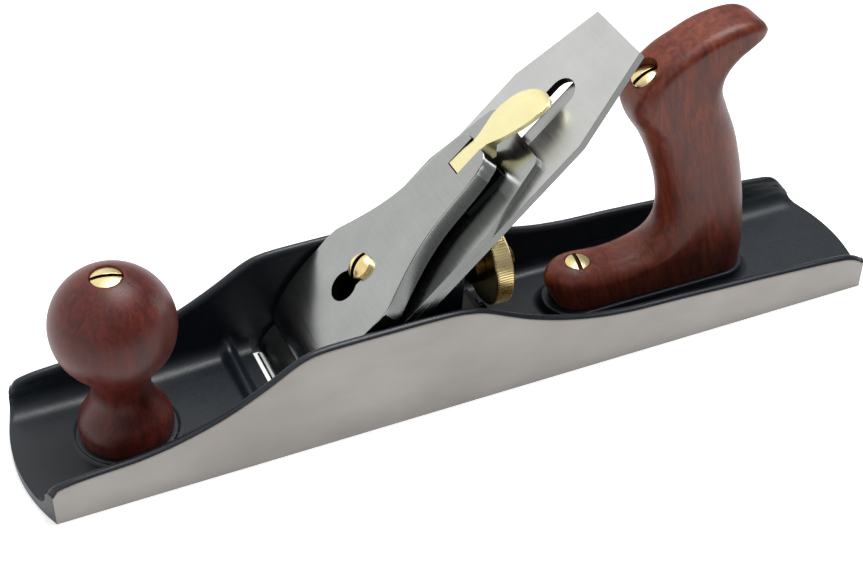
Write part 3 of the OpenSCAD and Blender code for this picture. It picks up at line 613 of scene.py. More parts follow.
def settled(obj: bpy.types.Object) -> bpy.types.Object:
    """Bakes an object's modifiers into its mesh.

    Args:
        obj: the object.

    Returns:
        The same object.
    """
    graph = bpy.context.evaluated_depsgraph_get()
    mesh = bpy.data.meshes.new_from_object(obj.evaluated_get(graph), preserve_all_data_layers=True, depsgraph=graph)
    old = obj.data
    obj.modifiers.clear()
    obj.data = mesh
    bpy.data.meshes.remove(old)
    return obj


def cut(obj: bpy.types.Object, *tools: Shell, keep_inside: bool = False) -> bpy.types.Object:
    """Takes closed shells out of an object, or trims it to them.

    Args:
        obj: the object to cut.
        tools: the cutting shells.
        keep_inside: keeps what lies inside each shell instead of what lies outside.

    Returns:
        The same object.
    """
    for shell in tools:
        tool = make_object("tool", shell)
        modifier = obj.modifiers.new("cut", "BOOLEAN")
        modifier.operation = "INTERSECT" if keep_inside else "DIFFERENCE"
        modifier.solver = "EXACT"
        modifier.object = tool
        settled(obj)
        bpy.data.objects.remove(tool)
    return obj


def softened(obj: bpy.types.Object, width: float, angle: float = 30.0) -> bpy.types.Object:
    """Rounds an object's sharp edges.

    Args:
        obj: the object.
        width: width of the rounding in millimetres.
        angle: edges that turn by less than this many degrees stay.

    Returns:
        The same object.
    """
    modifier = obj.modifiers.new("round", "BEVEL")
    modifier.width = width * MM
    modifier.segments = 2
    modifier.limit_method = "ANGLE"
    modifier.angle_limit = math.radians(angle)
    modifier.harden_normals = True
    smooth(obj)
    return settled(obj)


def smooth(obj: bpy.types.Object, angle: float = 40.0) -> bpy.types.Object:
    """Shades an object smooth except over edges that turn by more than the angle.

    Args:
        obj: the object.
        angle: the angle in degrees.

    Returns:
        The same object.
    """
    mesh = obj.data
    mesh.polygons.foreach_set("use_smooth", np.ones(len(mesh.polygons), bool))
    mesh.set_sharp_from_angle(angle=math.radians(angle))
    return obj


def dress(obj: bpy.types.Object, *finishes: Finish) -> bpy.types.Object:
    """Gives an object its materials.

    Args:
        obj: the object.
        finishes: its finishes, of which the first is on every face until paint_faces says otherwise.

    Returns:
        The same object.
    """
    obj.data.materials.clear()
    for finish in finishes:
        obj.data.materials.append(finish.material())
    return obj


def paint_faces(obj: bpy.types.Object, index: int, chosen: Callable[[Array, Array], Array]) -> None:
    """Gives some faces another of the object's materials.

    Args:
        obj: the object.
        index: which of its materials.
        chosen: takes face centres in millimetres and face normals, and returns which faces.
    """
    polygons = obj.data.polygons
    centre, normal = np.empty(len(polygons) * 3), np.empty(len(polygons) * 3)
    polygons.foreach_get("center", centre)
    polygons.foreach_get("normal", normal)
    now = np.empty(len(polygons), np.int32)
    polygons.foreach_get("material_index", now)
    now[chosen(centre.reshape(-1, 3) / MM, normal.reshape(-1, 3))] = index
    polygons.foreach_set("material_index", now)


def rounded_copy(node: str, width: float) -> bpy.types.Object:
    """A merged copy of a CAD node with its sharp edges rounded.

    Args:
        node: the node's name.
        width: width of the rounding in millimetres.

    Returns:
        The new piece.
    """
    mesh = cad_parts[node].data.copy()
    work = bmesh.new()
    work.from_mesh(mesh)
    bmesh.ops.remove_doubles(work, verts=work.verts, dist=0.003 * MM)
    bmesh.ops.dissolve_limit(work, angle_limit=math.radians(0.5), verts=work.verts, edges=work.edges)
    work.to_mesh(mesh)
    work.free()
    return softened(linked(f"{node}_shape", mesh), width)


@dataclass(frozen=True)
class SlottedHead:
    """Where a domed screw head sits and how its slot runs, so that painted shade can be put in the slot."""

    node: str
    seat: Triple
    lean: float
    turn: float
    half_slot: float = 0.8
    slot_floor: float = 1.2
    margin: float = 0.03

    def in_slot(self, centre: Array, normal: Array) -> Array:
        """Which faces are the walls and the floor of the slot.

        The screw's axis is (−sin lean, 0, cos lean), and the direction across the slot (−sin turn cos lean, cos turn,
        −sin turn sin lean). The faces lie within half the slot's width of its middle, and above its floor.

        Args:
            centre: centres of the faces.
            normal: not used.

        Returns:
            True for each face of the slot.
        """
        lean, turn = math.radians(self.lean), math.radians(self.turn)
        axis = np.array([-math.sin(lean), 0, math.cos(lean)])
        across = np.array([-math.sin(turn) * math.cos(lean), math.cos(turn), -math.sin(turn) * math.sin(lean)])
        place = centre - np.array(self.seat)
        return (np.abs(place @ across) < self.half_slot + self.margin) & (place @ axis > self.slot_floor - self.margin)


class SubAssembly:
    """A group of pieces that ride on one body."""

    body: Body = Body.PLANE
    head_round: float = 0.14

    def place(self, obj: bpy.types.Object, node: str, body: Optional[Body] = None) -> None:
        """Lets a finished piece ride on its body and stand for a CAD node.

        Args:
            obj: the piece.
            node: the CAD node that it replaces.
            body: the body, if it isn't the group's own.
        """
        rides_on = (body or self.body).value
        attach(obj, rides_on)
        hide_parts(node)
        log.info("%s rides on %s, %d faces", obj.name, rides_on, len(obj.data.polygons))

    def copies(self, finish: Finish, widths: dict[str, float], body: Optional[Body] = None) -> None:
        """Rounds and dresses CAD nodes.

        Args:
            finish: the finish of them all.
            widths: the edge rounding of each node, in millimetres.
            body: the body, if it isn't the group's own.
        """
        for node, width in widths.items():
            self.place(dress(rounded_copy(node, width), finish), node, body)

    def heads(self, *heads: SlottedHead) -> None:
        """Rounds and dresses brass screw heads, with painted shade in their slots.

        Args:
            heads: the heads.
        """
        for head in heads:
            obj = dress(rounded_copy(head.node, self.head_round), BRASS, SHADE_BRASS)
            # Painted shade, dark brown, in the slot.
            paint_faces(obj, 1, head.in_slot)
            self.place(obj, head.node)

    def build(self) -> None:
        """Makes and dresses every piece of the group."""
        raise NotImplementedError


# ---------------------------------------------------------------- the casting


@dataclass
class Casting(SubAssembly):
    """The iron body: floor, cheeks, cross rib, mouth, and the seats of frog, knob and tote."""

    half_length: float = 177.5
    half_width: float = 32.0
    end_radius: float = 77.0
    end_reach: float = 34.0
    floor_z: float = 4.5
    wall: float = 4.0
    draft: float = 0.5
    # The crest's rise over the outer height and its depth inside, and how it flattens towards the ends.
    crest: float = 2.0
    crest_lap: float = 1.0
    crest_drop: float = 1.3
    crest_drop_from: float = 160.0
    crest_drop_run: float = 10.0
    # Share of the far cheek's height that is lost from here to the heel.
    far_runout: float = 0.45
    far_runout_from: float = 170.0
    fillet_ends: float = 8.0
    fillet_middle: float = 5.0
    fillet_from: float = 60.0
    fillet_run: float = 60.0
    fillet_room: float = 1.2
    mouth_front: float = -77.9
    mouth_width: float = 54.4
    mouth_rear_off: float = -4.16
    rib_x: float = -86.9
    rib_rise: float = 3.5
    rib_half: float = 2.3
    # The frog's ramp: where its front runs up the bed, where it starts and ends on its own slope, its foot and width.
    frog_front_s: tuple[float, float] = (6.2, 13.0)
    frog_front_gap: float = 0.4
    frog_seat_u: tuple[float, float] = (5.4, 70.0)
    frog_seat_foot: float = -14.0
    frog_seat_width: float = 48.0
    # Both wooden parts stand on raised seats. Their shells start a little inside the floor.
    seat_sink: float = 0.5
    knob_seat_z: float = 6.1
    knob_seat_radius: float = 19.2
    knob_seat_foot: float = 21.2
    knob_seat_rim: float = 0.7
    knob_seat_fillet: tuple[float, float] = (1.6, 0.8)
    tote_seat_z: float = 9.5
    tote_seat_half: float = 13.0
    tote_seat_ends: tuple[float, float] = (51.5, 116.5)
    tote_seat_foot: float = 3.3
    tote_seat_rim: float = 0.9
    tote_seat_fillet: tuple[float, float] = (3.2, 3.0)
    edge_round: float = 0.35
    round_from: float = 42.0
    side_line: tuple = (
        (-170.04, 12.9), (-168.3, 14.8), (-163.9, 15.6), (-158.1, 16.2), (-149.4, 16.8), (-142.1, 17.2), (-136.2, 17.9),
        (-130.2, 18.9), (-124.2, 20.2), (-118.1, 21.9), (-112, 23.8), (-105.8, 26.1), (-99.6, 28.9), (-93.4, 32.1),
        (-87.1, 35.6), (-80.9, 39.4), (-77.7, 41.2), (-74.7, 42.6), (-71.6, 43.5), (-65.4, 44.2), (-55, 44.4),
        (-42, 44.4), (-28, 44.4), (-19, 44.2), (-12.5, 43.7), (-6, 42.3), (-2.7, 41.1), (0.7, 39.5), (7.5, 36.0),
        (14.3, 32.7), (21.3, 29.9), (28.3, 27.5), (35.3, 25.5), (42.4, 23.8), (49.5, 22.5), (56.6, 21.6), (63.8, 21.0),
        (71, 20.7), (81.9, 20.3), (93, 19.7), (104.2, 19.0), (119.3, 18.3), (134.6, 17.4), (150.3, 16.4), (158.2, 15.6),
        (162.2, 15.0), (166.4, 13.7), (170.04, 12.0))

    def stations(self) -> Array:
        """Places along the plane before the ends are bowed, close together over the rib and the ends.

        Returns:
            Their x, in rising order.
        """
        coarse = np.arange(-140, 141, 2.5)
        rib = np.arange(-97, -76, 0.6)
        end = self.half_length - 38 * np.linspace(0, 1, 26) ** 1.6
        return np.unique(np.round(np.concatenate([coarse, rib, end, -end]), 3))

    def sag(self, y: Array) -> Array:
        """How far the bowed end falls short at y: R − √(R² − y²)."""
        return self.end_radius - np.sqrt(self.end_radius ** 2 - y ** 2)

    def shell(self) -> Shell:
        """Floor and cheeks as one closed loop carried along the plane.

        The loop goes up the near side, over the crest, an ellipse of half the wall's width, down the leaning inner
        face, round the fillet, across the floor, and back under the sole. Near the ends every point moves in by the
        bow's sag times a share that rises to 1 as 3t² − 2t³.

        Returns:
            The closed shell.
        """
        x = self.stations()[:, None]
        near_end = np.clip((np.abs(x) - (self.half_length - self.end_reach)) / self.end_reach, 0, 1)
        share = near_end ** 2 * (3 - 2 * near_end)
        side_x = x - np.sign(x) * self.sag(np.array([[self.half_width]])) * share
        height = profile(self.side_line, side_x)
        drop = np.clip((np.abs(side_x) - self.crest_drop_from) / self.crest_drop_run, 0, 1) ** 2
        crest = (self.crest - self.crest_drop * drop)[:, 0]
        floor = self.floor_z + self.rib_rise * np.exp(-np.abs((x - self.rib_x) / self.rib_half) ** 3)
        widen = np.clip((np.abs(x) - self.fillet_from) / self.fillet_run, 0, 1)
        corner = self.fillet_middle + (self.fillet_ends - self.fillet_middle) * widen
        corner = np.minimum(corner, height - self.fillet_room - floor)
        one = np.ones_like(x)
        head_y, foot_y = self.half_width - self.wall, self.half_width - self.wall - self.draft
        middle_y = self.half_width - self.wall / 2
        inner_top = height - self.crest_lap
        out_y, out_z = arc(self.wall / 2, crest, 0, 90, 7)
        in_y, in_z = arc(self.wall / 2, crest + self.crest_lap, 90, 180, 7)
        down = np.linspace(0, 1, 7)[None, 1:]
        turn = np.radians(np.linspace(0, 90, 9))[None, 1:]
        y = np.hstack([
            one * self.half_width * np.ones((1, 5)), one * (middle_y + out_y[None, 1:]),
            one * (middle_y + in_y[None, 1:]), one * (head_y * (1 - down) + foot_y * down),
            foot_y - corner * (1 - np.cos(turn)), (foot_y - corner) * np.linspace(1, 0, 9)[None, 1:]])
        z = np.hstack([
            height * np.linspace(0, 1, 5)[None, :], height + out_z[:, 1:], inner_top + in_z[:, 1:],
            inner_top * (1 - down) + (floor + corner) * down, floor + corner * (1 - np.sin(turn)),
            floor * np.ones((1, 8))])
        near_heel = np.clip((x - self.far_runout_from) / (self.half_length - self.far_runout_from), 0, 1)
        far_z = z[:, -2::-1]
        far_z = np.where(far_z > floor, floor + (far_z - floor) * (1 - self.far_runout * near_heel ** 2), far_z)
        top_y, top_z = np.hstack([-y, y[:, -2::-1]]), np.hstack([z, far_z])
        all_y = np.hstack([top_y, top_y[:, ::-1]])
        all_z = np.hstack([top_z, np.zeros_like(top_z)])
        all_x = x - np.sign(x) * self.sag(all_y) * share
        return loft(np.stack([all_x, all_y, all_z], -1), Cap.STRIP)

    def mouth(self) -> Shell:
        """The mouth: square at the front, and leaning with the blade behind.

        Returns:
            The cutting shell.
        """
        low, high = bed_point([-6, 30], self.mouth_rear_off)
        front = self.mouth_front
        return prism([(front, -2), (low[0], low[2]), (high[0], high[2]), (front, 16)], self.mouth_width)

    def frog_seat(self) -> Shell:
        """The machined ramp that the frog stands on, cut off along the rear of the mouth.

        Returns:
            The closed shell.
        """
        low, high = bed_point(self.frog_front_s, self.mouth_rear_off - self.frog_front_gap)
        start, end = self.frog_seat_u
        ramp = [ramp_point(start, 0), ramp_point(end, 0), ramp_point(end, self.frog_seat_foot)]
        return prism([(low[0], low[2]), (high[0], high[2]), *ramp], self.frog_seat_width)

    def seat_edge(self, top: float, rim: float, fillet: tuple[float, float], steps: int) -> Array:
        """How far a raised seat reaches past its edge: a hollow fillet up from the floor, then a rounded rim.

        Args:
            top: height of the seat.
            rim: radius of its rim.
            fillet: width and height of its fillet.
            steps: places along the fillet.

        Returns:
            Rows of reach and height, from the floor up.
        """
        fall_y, fall_z = arc(*fillet, 270, 180, steps)
        rim_y, rim_z = arc(rim, rim, 0, 90, 5)
        reach = np.concatenate([fillet[0] + fall_y, rim_y - rim])
        return np.stack([reach, np.concatenate([self.floor_z + fillet[1] + fall_z, top - rim + rim_z])], -1)

    def knob_boss(self) -> Shell:
        """The round seat of the knob: a flat disc, a rounded rim, and a hollow fillet down to the floor.

        Returns:
            The closed shell.
        """
        foot, top = self.floor_z - self.seat_sink, self.knob_seat_z
        edge = self.seat_edge(top, self.knob_seat_rim, self.knob_seat_fillet, 6) + [self.knob_seat_radius, 0]
        return lathe(np.vstack([[[0, foot], [self.knob_seat_foot, foot]], edge, [[0, top]]]), (KNOB_X, 0), 120)

    def tote_boss(self) -> Shell:
        """The raised seat of the tote: round-ended rings that narrow upwards from a hollow fillet to a rounded rim.

        Returns:
            The closed shell.
        """
        foot, top = self.floor_z - self.seat_sink, self.tote_seat_z
        edge = self.seat_edge(top, self.tote_seat_rim, self.tote_seat_fillet, 8)
        grow, height = np.vstack([[self.tote_seat_foot, foot], edge, [-4.0, top]]).T
        turn = np.radians(np.linspace(90, 270, 33))
        radius = self.tote_seat_half + grow
        ends = tuple(zip(self.tote_seat_ends, (turn, turn + math.pi)))
        x = np.hstack([middle + np.multiply.outer(radius, np.cos(t)) for middle, t in ends])
        y = np.hstack([np.multiply.outer(radius, np.sin(t)) for _, t in ends])
        return loft(np.stack([x, y, np.broadcast_to(height[:, None], x.shape)], -1))

    def ground(self, centre: Array, normal: Array) -> Array:
        """Which faces are left bare: the outsides of the cheeks and the sole.

        Args:
            centre: centres of the faces.
            normal: normals of the faces.

        Returns:
            True for each bare face.
        """
        side = (np.abs(centre[:, 1]) > self.half_width - 0.2) & (np.abs(normal[:, 1]) > 0.8)
        return side | ((centre[:, 2] < 0.2) & (normal[:, 2] < -0.8))

    def build(self) -> None:
        """Makes the casting, paints it and leaves its sides and sole ground."""
        obj = cut(make_object("body_casting_shape", self.shell()), self.mouth())
        joined = bmesh.new()
        joined.from_mesh(obj.data)
        for shell in (self.frog_seat(), self.knob_boss(), self.tote_boss()):
            seat = make_object("seat", shell)
            joined.from_mesh(seat.data)
            bpy.data.objects.remove(seat)
        joined.to_mesh(obj.data)
        joined.free()
        softened(obj, self.edge_round, self.round_from)
        dress(obj, ENAMEL, IRON)
        paint_faces(obj, 1, self.ground)
        self.place(obj, "body_casting")
        self.copies(BLUED, {"frog_locking_screws": 0.2})


# ---------------------------------------------------------------- knob and tote


@dataclass
class Knob(SubAssembly):
    """The turned front knob with its stud and brass nut."""

    seat_z: float = 6.1
    ball_radius: float = 23.0
    ball_z: float = 56.3
    recess_radius: float = 5.95
    recess_z: float = 76.0
    lip: float = 0.7
    nut_turn: float = -12.0
    nut_slot_floor: float = 1.4
    foot: tuple = (
        (17.1, 6.1), (17.6, 7.4), (17.75, 9.4), (17.5, 12.4), (16.2, 15.6), (13.9, 19.4), (11.9, 23.2), (11.0, 27.1),
        (11.3, 31.0), (12.9, 35.0), (15.5, 39.3))

    def turned(self) -> Shell:
        """The knob's outline: a flared foot and neck, a ball r = 23 cos a, and the nut's recess with a rounded lip.

        Returns:
            The closed shell.
        """
        low = smooth_curve(self.foot, 60)
        start = math.degrees(math.asin((self.foot[-1][1] - self.ball_z) / self.ball_radius)) + 4
        top = math.degrees(math.acos((self.recess_radius + self.lip) / self.ball_radius))
        ball_r, ball_h = arc(self.ball_radius, self.ball_radius, start, top, 60)
        ball = np.stack([ball_r, self.ball_z + ball_h], -1)
        rim = ball[-1, 1]
        recess = [
            [self.recess_radius + 0.25, rim + 0.02], [self.recess_radius, rim - 0.35],
            [self.recess_radius, self.recess_z], [0, self.recess_z]]
        return lathe(np.vstack([[[0, self.seat_z]], low, ball, recess]), (KNOB_X, 0), 128)

    def build(self) -> None:
        """Makes the knob and dresses its fittings."""
        self.place(dress(smooth(make_object("knob_turned", self.turned()), 50), KNOB_WOOD), "knob")
        seat = (KNOB_X, 0, self.recess_z)
        self.heads(SlottedHead("knob_nut", seat, 0, self.nut_turn, slot_floor=self.nut_slot_floor))
        self.copies(BAR, {"knob_stud": 0.2})


@dataclass
class Tote(SubAssembly):
    """The sawn and shaped rear handle with its stud, nut and toe screw.

    The handle is skinned from cross sections that sweep down it. Each section joins a place on the front line to one
    on the rear line, and its corners are quarter ellipses, so the grip is full and round and the foot is flat.
    """

    thickness: float = 23.0
    seat_z: float = 9.5
    seat_edge: float = 0.9
    plan_ends: tuple[float, float] = (38.1, 127.85)
    plan_half: float = 11.45
    nut_place: tuple[float, float] = (74.8, 109.2)
    nut_lean: float = 23.0
    nut_turn: float = 4.0
    nut_depth: float = 3.0
    nut_bore: float = 5.8
    screw_place: tuple[float, float] = (52.6, 24.7)
    screw_turn: float = 80.0
    screw_bore: float = 5.3
    front: tuple = (
        (124.2, 119.9), (123.2, 121.8), (120.6, 124.3), (115.2, 126.2), (107, 126.0), (97.8, 123.9), (89.3, 120.1),
        (81.8, 116.2), (75.5, 111), (70.6, 104.5), (68.2, 98), (69.4, 92), (72, 87.2), (75.2, 82.4), (79.2, 74.4),
        (82.5, 66.0), (85.2, 57.8), (86.9, 49.5), (87.5, 42.0), (87, 37), (85.1, 32.6), (82.2, 29.2), (78.4, 27),
        (74.4, 25.8), (70, 25.3), (65.5, 25.3), (60, 25.9), (54.2, 26.5), (49, 26.7), (45, 26.2), (41.6, 24.9),
        (39.4, 22.6), (38.4, 20.2))
    rear_high: tuple = (
        (123.9, 118.7), (122.0, 117.5), (118.9, 115.7), (115.1, 113.1), (111.3, 110), (108.8, 106.5), (107.6, 102.8),
        (107.4, 99.3), (108.1, 96.3), (109.4, 93.2), (110.8, 90.3), (112, 87.6), (113.2, 84.8), (114.5, 82),
        (117.5, 74.8), (120, 66.8), (122.2, 58.6), (124.1, 50), (125.8, 40.5), (127.2, 29), (127.9, 18), (127.9, 9.5))
    rear_low: tuple = (
        (127.9, 9.5), (112, 9.5), (98, 9.5), (84, 9.5), (73, 9.5), (63, 9.5), (55.5, 9.5), (50.5, 9.5), (47, 9.5),
        (44.7, 9.5), (43.2, 9.5), (42.6, 10.3))
    # Half thickness at each section: round at the horn's tip and at the plan end of the toe.
    half_thick: tuple = (
        4.4, 7.0, 9.2, 10.4, 10.9, 11.2, 11.2, 11.4, *(11.5,) * 20, 11.0, 9.7, 7.6, 5.2, 2.0)
    # Reach of the corner's curve along the section and across it, at the front and the rear line.
    front_reach: tuple = (
        0.4, 1.6, 3.0, 3.8, 4.2, 4.4, 4.4, 4.6, 5.0, 5.8, 7.4, 10, 12, 13, 13.6, 14, 14, 14, 13.6, 13, 11.6, 10, 8.6,
        7.6, 7.2, 7, 7, 7, 7, 7, 6.6, 5.0, 3.0)
    front_across: tuple = (
        1.8, 3.4, 4.6, 5.0, 5.2, 5.2, 5.2, 5.2, 5.4, 6.2, 7.8, 10, 11.4, *(11.5,) * 7, 11.3, 10.6, 9.6, 9, 8.6,
        *(8.4,) * 4, 8, 6.6, 4.6, 1.8)
    rear_reach: tuple = (
        0.4, 1.6, 3.2, 4.4, 5.4, 6.4, 7.4, 8.4, 9.6, 10.8, 12, 13, 13, 13, 13.6, 14, 14, 14, 13.6, 13, 12, 11)
    section_steps: int = 180

    def spread_over(self, values: Sequence, key: Array) -> Array:
        """Values of the key sections, smoothly spread over every section.

        Args:
            values: one number or one point for each key section.
            key: places of the sections, counted in key sections.

        Returns:
            One row for each section.
        """
        curve = smooth_curve(np.reshape(values, (len(values), -1)), 40 * len(values))
        at = np.linspace(0, len(values) - 1, len(curve))
        return np.stack([np.interp(key, at, column) for column in curve.T], -1)

    def rings(self) -> Array:
        """Cross sections from the horn's tip to the toe.

        With F on the front line, B on the rear line and d = (F − B)/|F − B|, a ring is B + a d + b y, where (a, b)
        runs round a box |F − B| long and 2w wide with quarter-ellipse corners.

        Returns:
            Points as (ring, place round the ring, xyz).
        """
        last, knee = len(self.front) - 1, len(self.rear_high) - 1
        key = np.unique(np.concatenate([
            np.linspace(0, last, self.section_steps), knee + np.linspace(0, 1, 18) ** 1.7, np.linspace(0, 2, 20),
            np.linspace(last - 3, last, 16)]))
        front = self.spread_over(self.front, key)
        high = self.spread_over(self.rear_high, np.minimum(key, knee))
        low_key = np.clip(key - knee, 0, len(self.rear_low) - 1)
        places = np.arange(len(self.rear_low))
        low = np.stack([np.interp(low_key, places, column) for column in np.transpose(self.rear_low)], -1)
        on_seat = (key > knee)[:, None]
        rear = np.where(on_seat, low, high)
        half = self.spread_over(self.half_thick, key)
        rear_across = np.minimum(np.where(on_seat, self.seat_edge, self.thickness / 2), half)
        rear_reach = np.where(on_seat, self.seat_edge, self.spread_over(self.rear_reach, np.minimum(key, knee)))
        front_across = np.minimum(self.spread_over(self.front_across, key), half)
        front_reach = self.spread_over(self.front_reach, key)
        length = np.linalg.norm(front - rear, axis=1, keepdims=True)
        squeeze = np.minimum(1, 0.98 * length / (front_reach + rear_reach))
        front_reach, rear_reach = front_reach * squeeze, rear_reach * squeeze
        t = np.radians(np.linspace(0, 90, 12))[None, :]
        side = np.linspace(0, 1, 8)[None, 1:-1]
        end = np.linspace(-1, 1, 5)[None, 1:-1]
        side_a = np.hstack([
            length - front_reach * (1 - np.cos(t)), (length - front_reach) * (1 - side) + rear_reach * side,
            rear_reach * (1 - np.sin(t))])
        side_b = np.hstack([
            half - front_across * (1 - np.sin(t)), half * np.ones_like(side), half - rear_across * (1 - np.cos(t))])
        tail_b = -(half - rear_across) * end
        nose_b = (half - front_across) * end
        a = np.hstack([side_a, np.zeros_like(tail_b), side_a[:, ::-1], length * np.ones_like(nose_b)])
        b = np.hstack([side_b, tail_b, -side_b[:, ::-1], nose_b])
        along = (front - rear) / length
        return np.stack([rear[:, :1] + a * along[:, :1], b, rear[:, 1:] + a * along[:, 1:]], -1)

    def plan(self) -> Shell:
        """The handle seen from above: straight sides between two half circles, as an upright block.

        Returns:
            The closed shell.
        """
        turn = np.radians(np.linspace(90, 270, 41))
        low, high = self.plan_ends
        ends = ((low + self.plan_half, turn), (high - self.plan_half, turn + math.pi))
        x = np.concatenate([middle + self.plan_half * np.cos(t) for middle, t in ends])
        y = np.concatenate([self.plan_half * np.sin(t) for _, t in ends])
        return loft(np.stack([np.stack([x, y, np.full(len(x), z)], -1) for z in (self.seat_z - 2, 140.0)]), Cap.FLAT)

    def counterbore(self, centre: tuple[float, float], lean: float, radius: float, low: float, high: float) -> Shell:
        """A round tool whose axis leans towards the toe: an upright drum turned by the lean and moved to its place.

        Args:
            centre: x and z of the place where it starts.
            lean: its lean in degrees.
            radius: its radius.
            low: its lower end along the axis.
            high: its upper end along the axis.

        Returns:
            The closed shell.
        """
        drum = lathe([[0, low], [radius, low], [radius, high], [0, high]], (0, 0), 64)
        x, y, z = drum.points.T
        sin, cos = math.sin(math.radians(lean)), math.cos(math.radians(lean))
        return Shell(np.stack([centre[0] + x * cos - z * sin, y, centre[1] + x * sin + z * cos], -1), drum.faces)

    def build(self) -> None:
        """Makes the handle, sinks its fittings and dresses them."""
        obj = cut(make_object("tote_shaped", loft(self.rings())), self.plan(), keep_inside=True)
        cut(obj, self.counterbore(self.nut_place, self.nut_lean, self.nut_bore, -self.nut_depth, 25),
            self.counterbore(self.screw_place, 0, self.screw_bore, 0, 12))
        self.place(dress(smooth(obj, 42), TOTE_WOOD), "tote")
        lean, (x, z), (screw_x, screw_z) = math.radians(self.nut_lean), self.nut_place, self.screw_place
        nut_seat = (x + self.nut_depth * math.sin(lean), 0, z - self.nut_depth * math.cos(lean))
        self.heads(
            SlottedHead("tote_nut", nut_seat, self.nut_lean, self.nut_turn),
            SlottedHead("tote_toe_screw", (screw_x, 0, screw_z), 0, self.screw_turn))
        self.copies(BAR, {"tote_stud": 0.2})


# ---------------------------------------------------------------- frog and adjusters


@dataclass
class Frog(SubAssembly):
    """The frog with its own fasteners and the pins that the levers turn on."""

    body = Body.FROG
    screw_turn: float = 22.0
    screw_half_slot: float = 1.0
    screw_slot_floor: float = 0.5

    def build(self) -> None:
        """Paints the frog and dresses its fittings."""
        self.copies(ENAMEL, {"frog": 0.5})
        self.copies(BAR, {"frog_pins": 0.2, "y_lever_pin": 0.15, "lateral_pin": 0.15})
        self.copies(BLUED, {"frog_tab": 0.25, "frog_tab_screw": 0.12, "depth_stud": 0.2})
        seat = tuple(bed_point(CAP_SCREW_S, CAP_TOP))
        self.heads(SlottedHead(
            "lever_cap_screw", seat, math.degrees(BED), self.screw_turn, self.screw_half_slot, self.screw_slot_floor))
        self.copies(BLUED, {"frog_adjusting_screw": 0.15}, Body.FROG_SCREW)


@dataclass
class DepthAdjuster(SubAssembly):
    """The grooved brass hub, its knurled wheel and the lever that they push."""

    body = Body.SLEEVE

    def build(self) -> None:
        """Dresses the hub, the wheel and the lever."""
        # The hub sits in shade behind the wheel; its dark brass is painted shade.
        self.copies(HUB_SHADE_BRASS, {"depth_hub": 0.25})
        self.copies(BRASS, {"depth_wheel": 0.05}, Body.DIAL)
        self.copies(BLUED, {"y_lever": 0.4}, Body.Y_LEVER)


@dataclass
class LateralAdjuster(SubAssembly):
    """The flat lever behind the blade and its disc."""

    body = Body.LATERAL

    def build(self) -> None:
        """Dresses the lever and its disc."""
        self.copies(PLATE, {"lateral_lever": 0.35})
        self.copies(BAR, {"lateral_disc": 0.2})


# ---------------------------------------------------------------- blade and lever cap


@dataclass
class CuttingUnit(SubAssembly):
    """Blade, chipbreaker and the screw that holds them together."""

    body = Body.BLADE
    edge: float = 0.12
    slot_half: float = 6.3
    slot_span: tuple[float, float] = (41.0, 166.0)

    def in_slot(self, centre: Array, normal: Array) -> Array:
        """Which faces are walls of the long slots, which get near-black painted shade.

        Args:
            centre: centres of the faces.
            normal: normals of the faces.

        Returns:
            True for each wall.
        """
        s, _, y = on_bed(centre)
        inside = (np.abs(y) < self.slot_half) & (s > self.slot_span[0]) & (s < self.slot_span[1])
        return inside & (np.abs(normal @ BED_UP) < 0.5)

    def on_edge(self, centre: Array, normal: Array) -> Array:
        """Which faces are the long side edges, which get the darker grey."""
        return (np.abs(normal[:, 1]) > 0.7) & (np.abs(centre[:, 1]) > self.slot_half + 2)

    def build(self) -> None:
        """Dresses the irons, gives their side edges a darker grey, and puts painted shade on the walls of their slots.
        """
        for node, finish in (("blade", STEEL), ("chipbreaker", PLATE)):
            obj = dress(rounded_copy(node, self.edge), finish, SHADE_BLACK, SIDE_GREY)
            # The long side edges in a darker grey.
            paint_faces(obj, 2, self.on_edge)
            # Painted shade, near black, on the walls of the slots.
            paint_faces(obj, 1, self.in_slot)
            self.place(obj, node)
        self.copies(BAR, {"cap_iron_screw": 0.25})


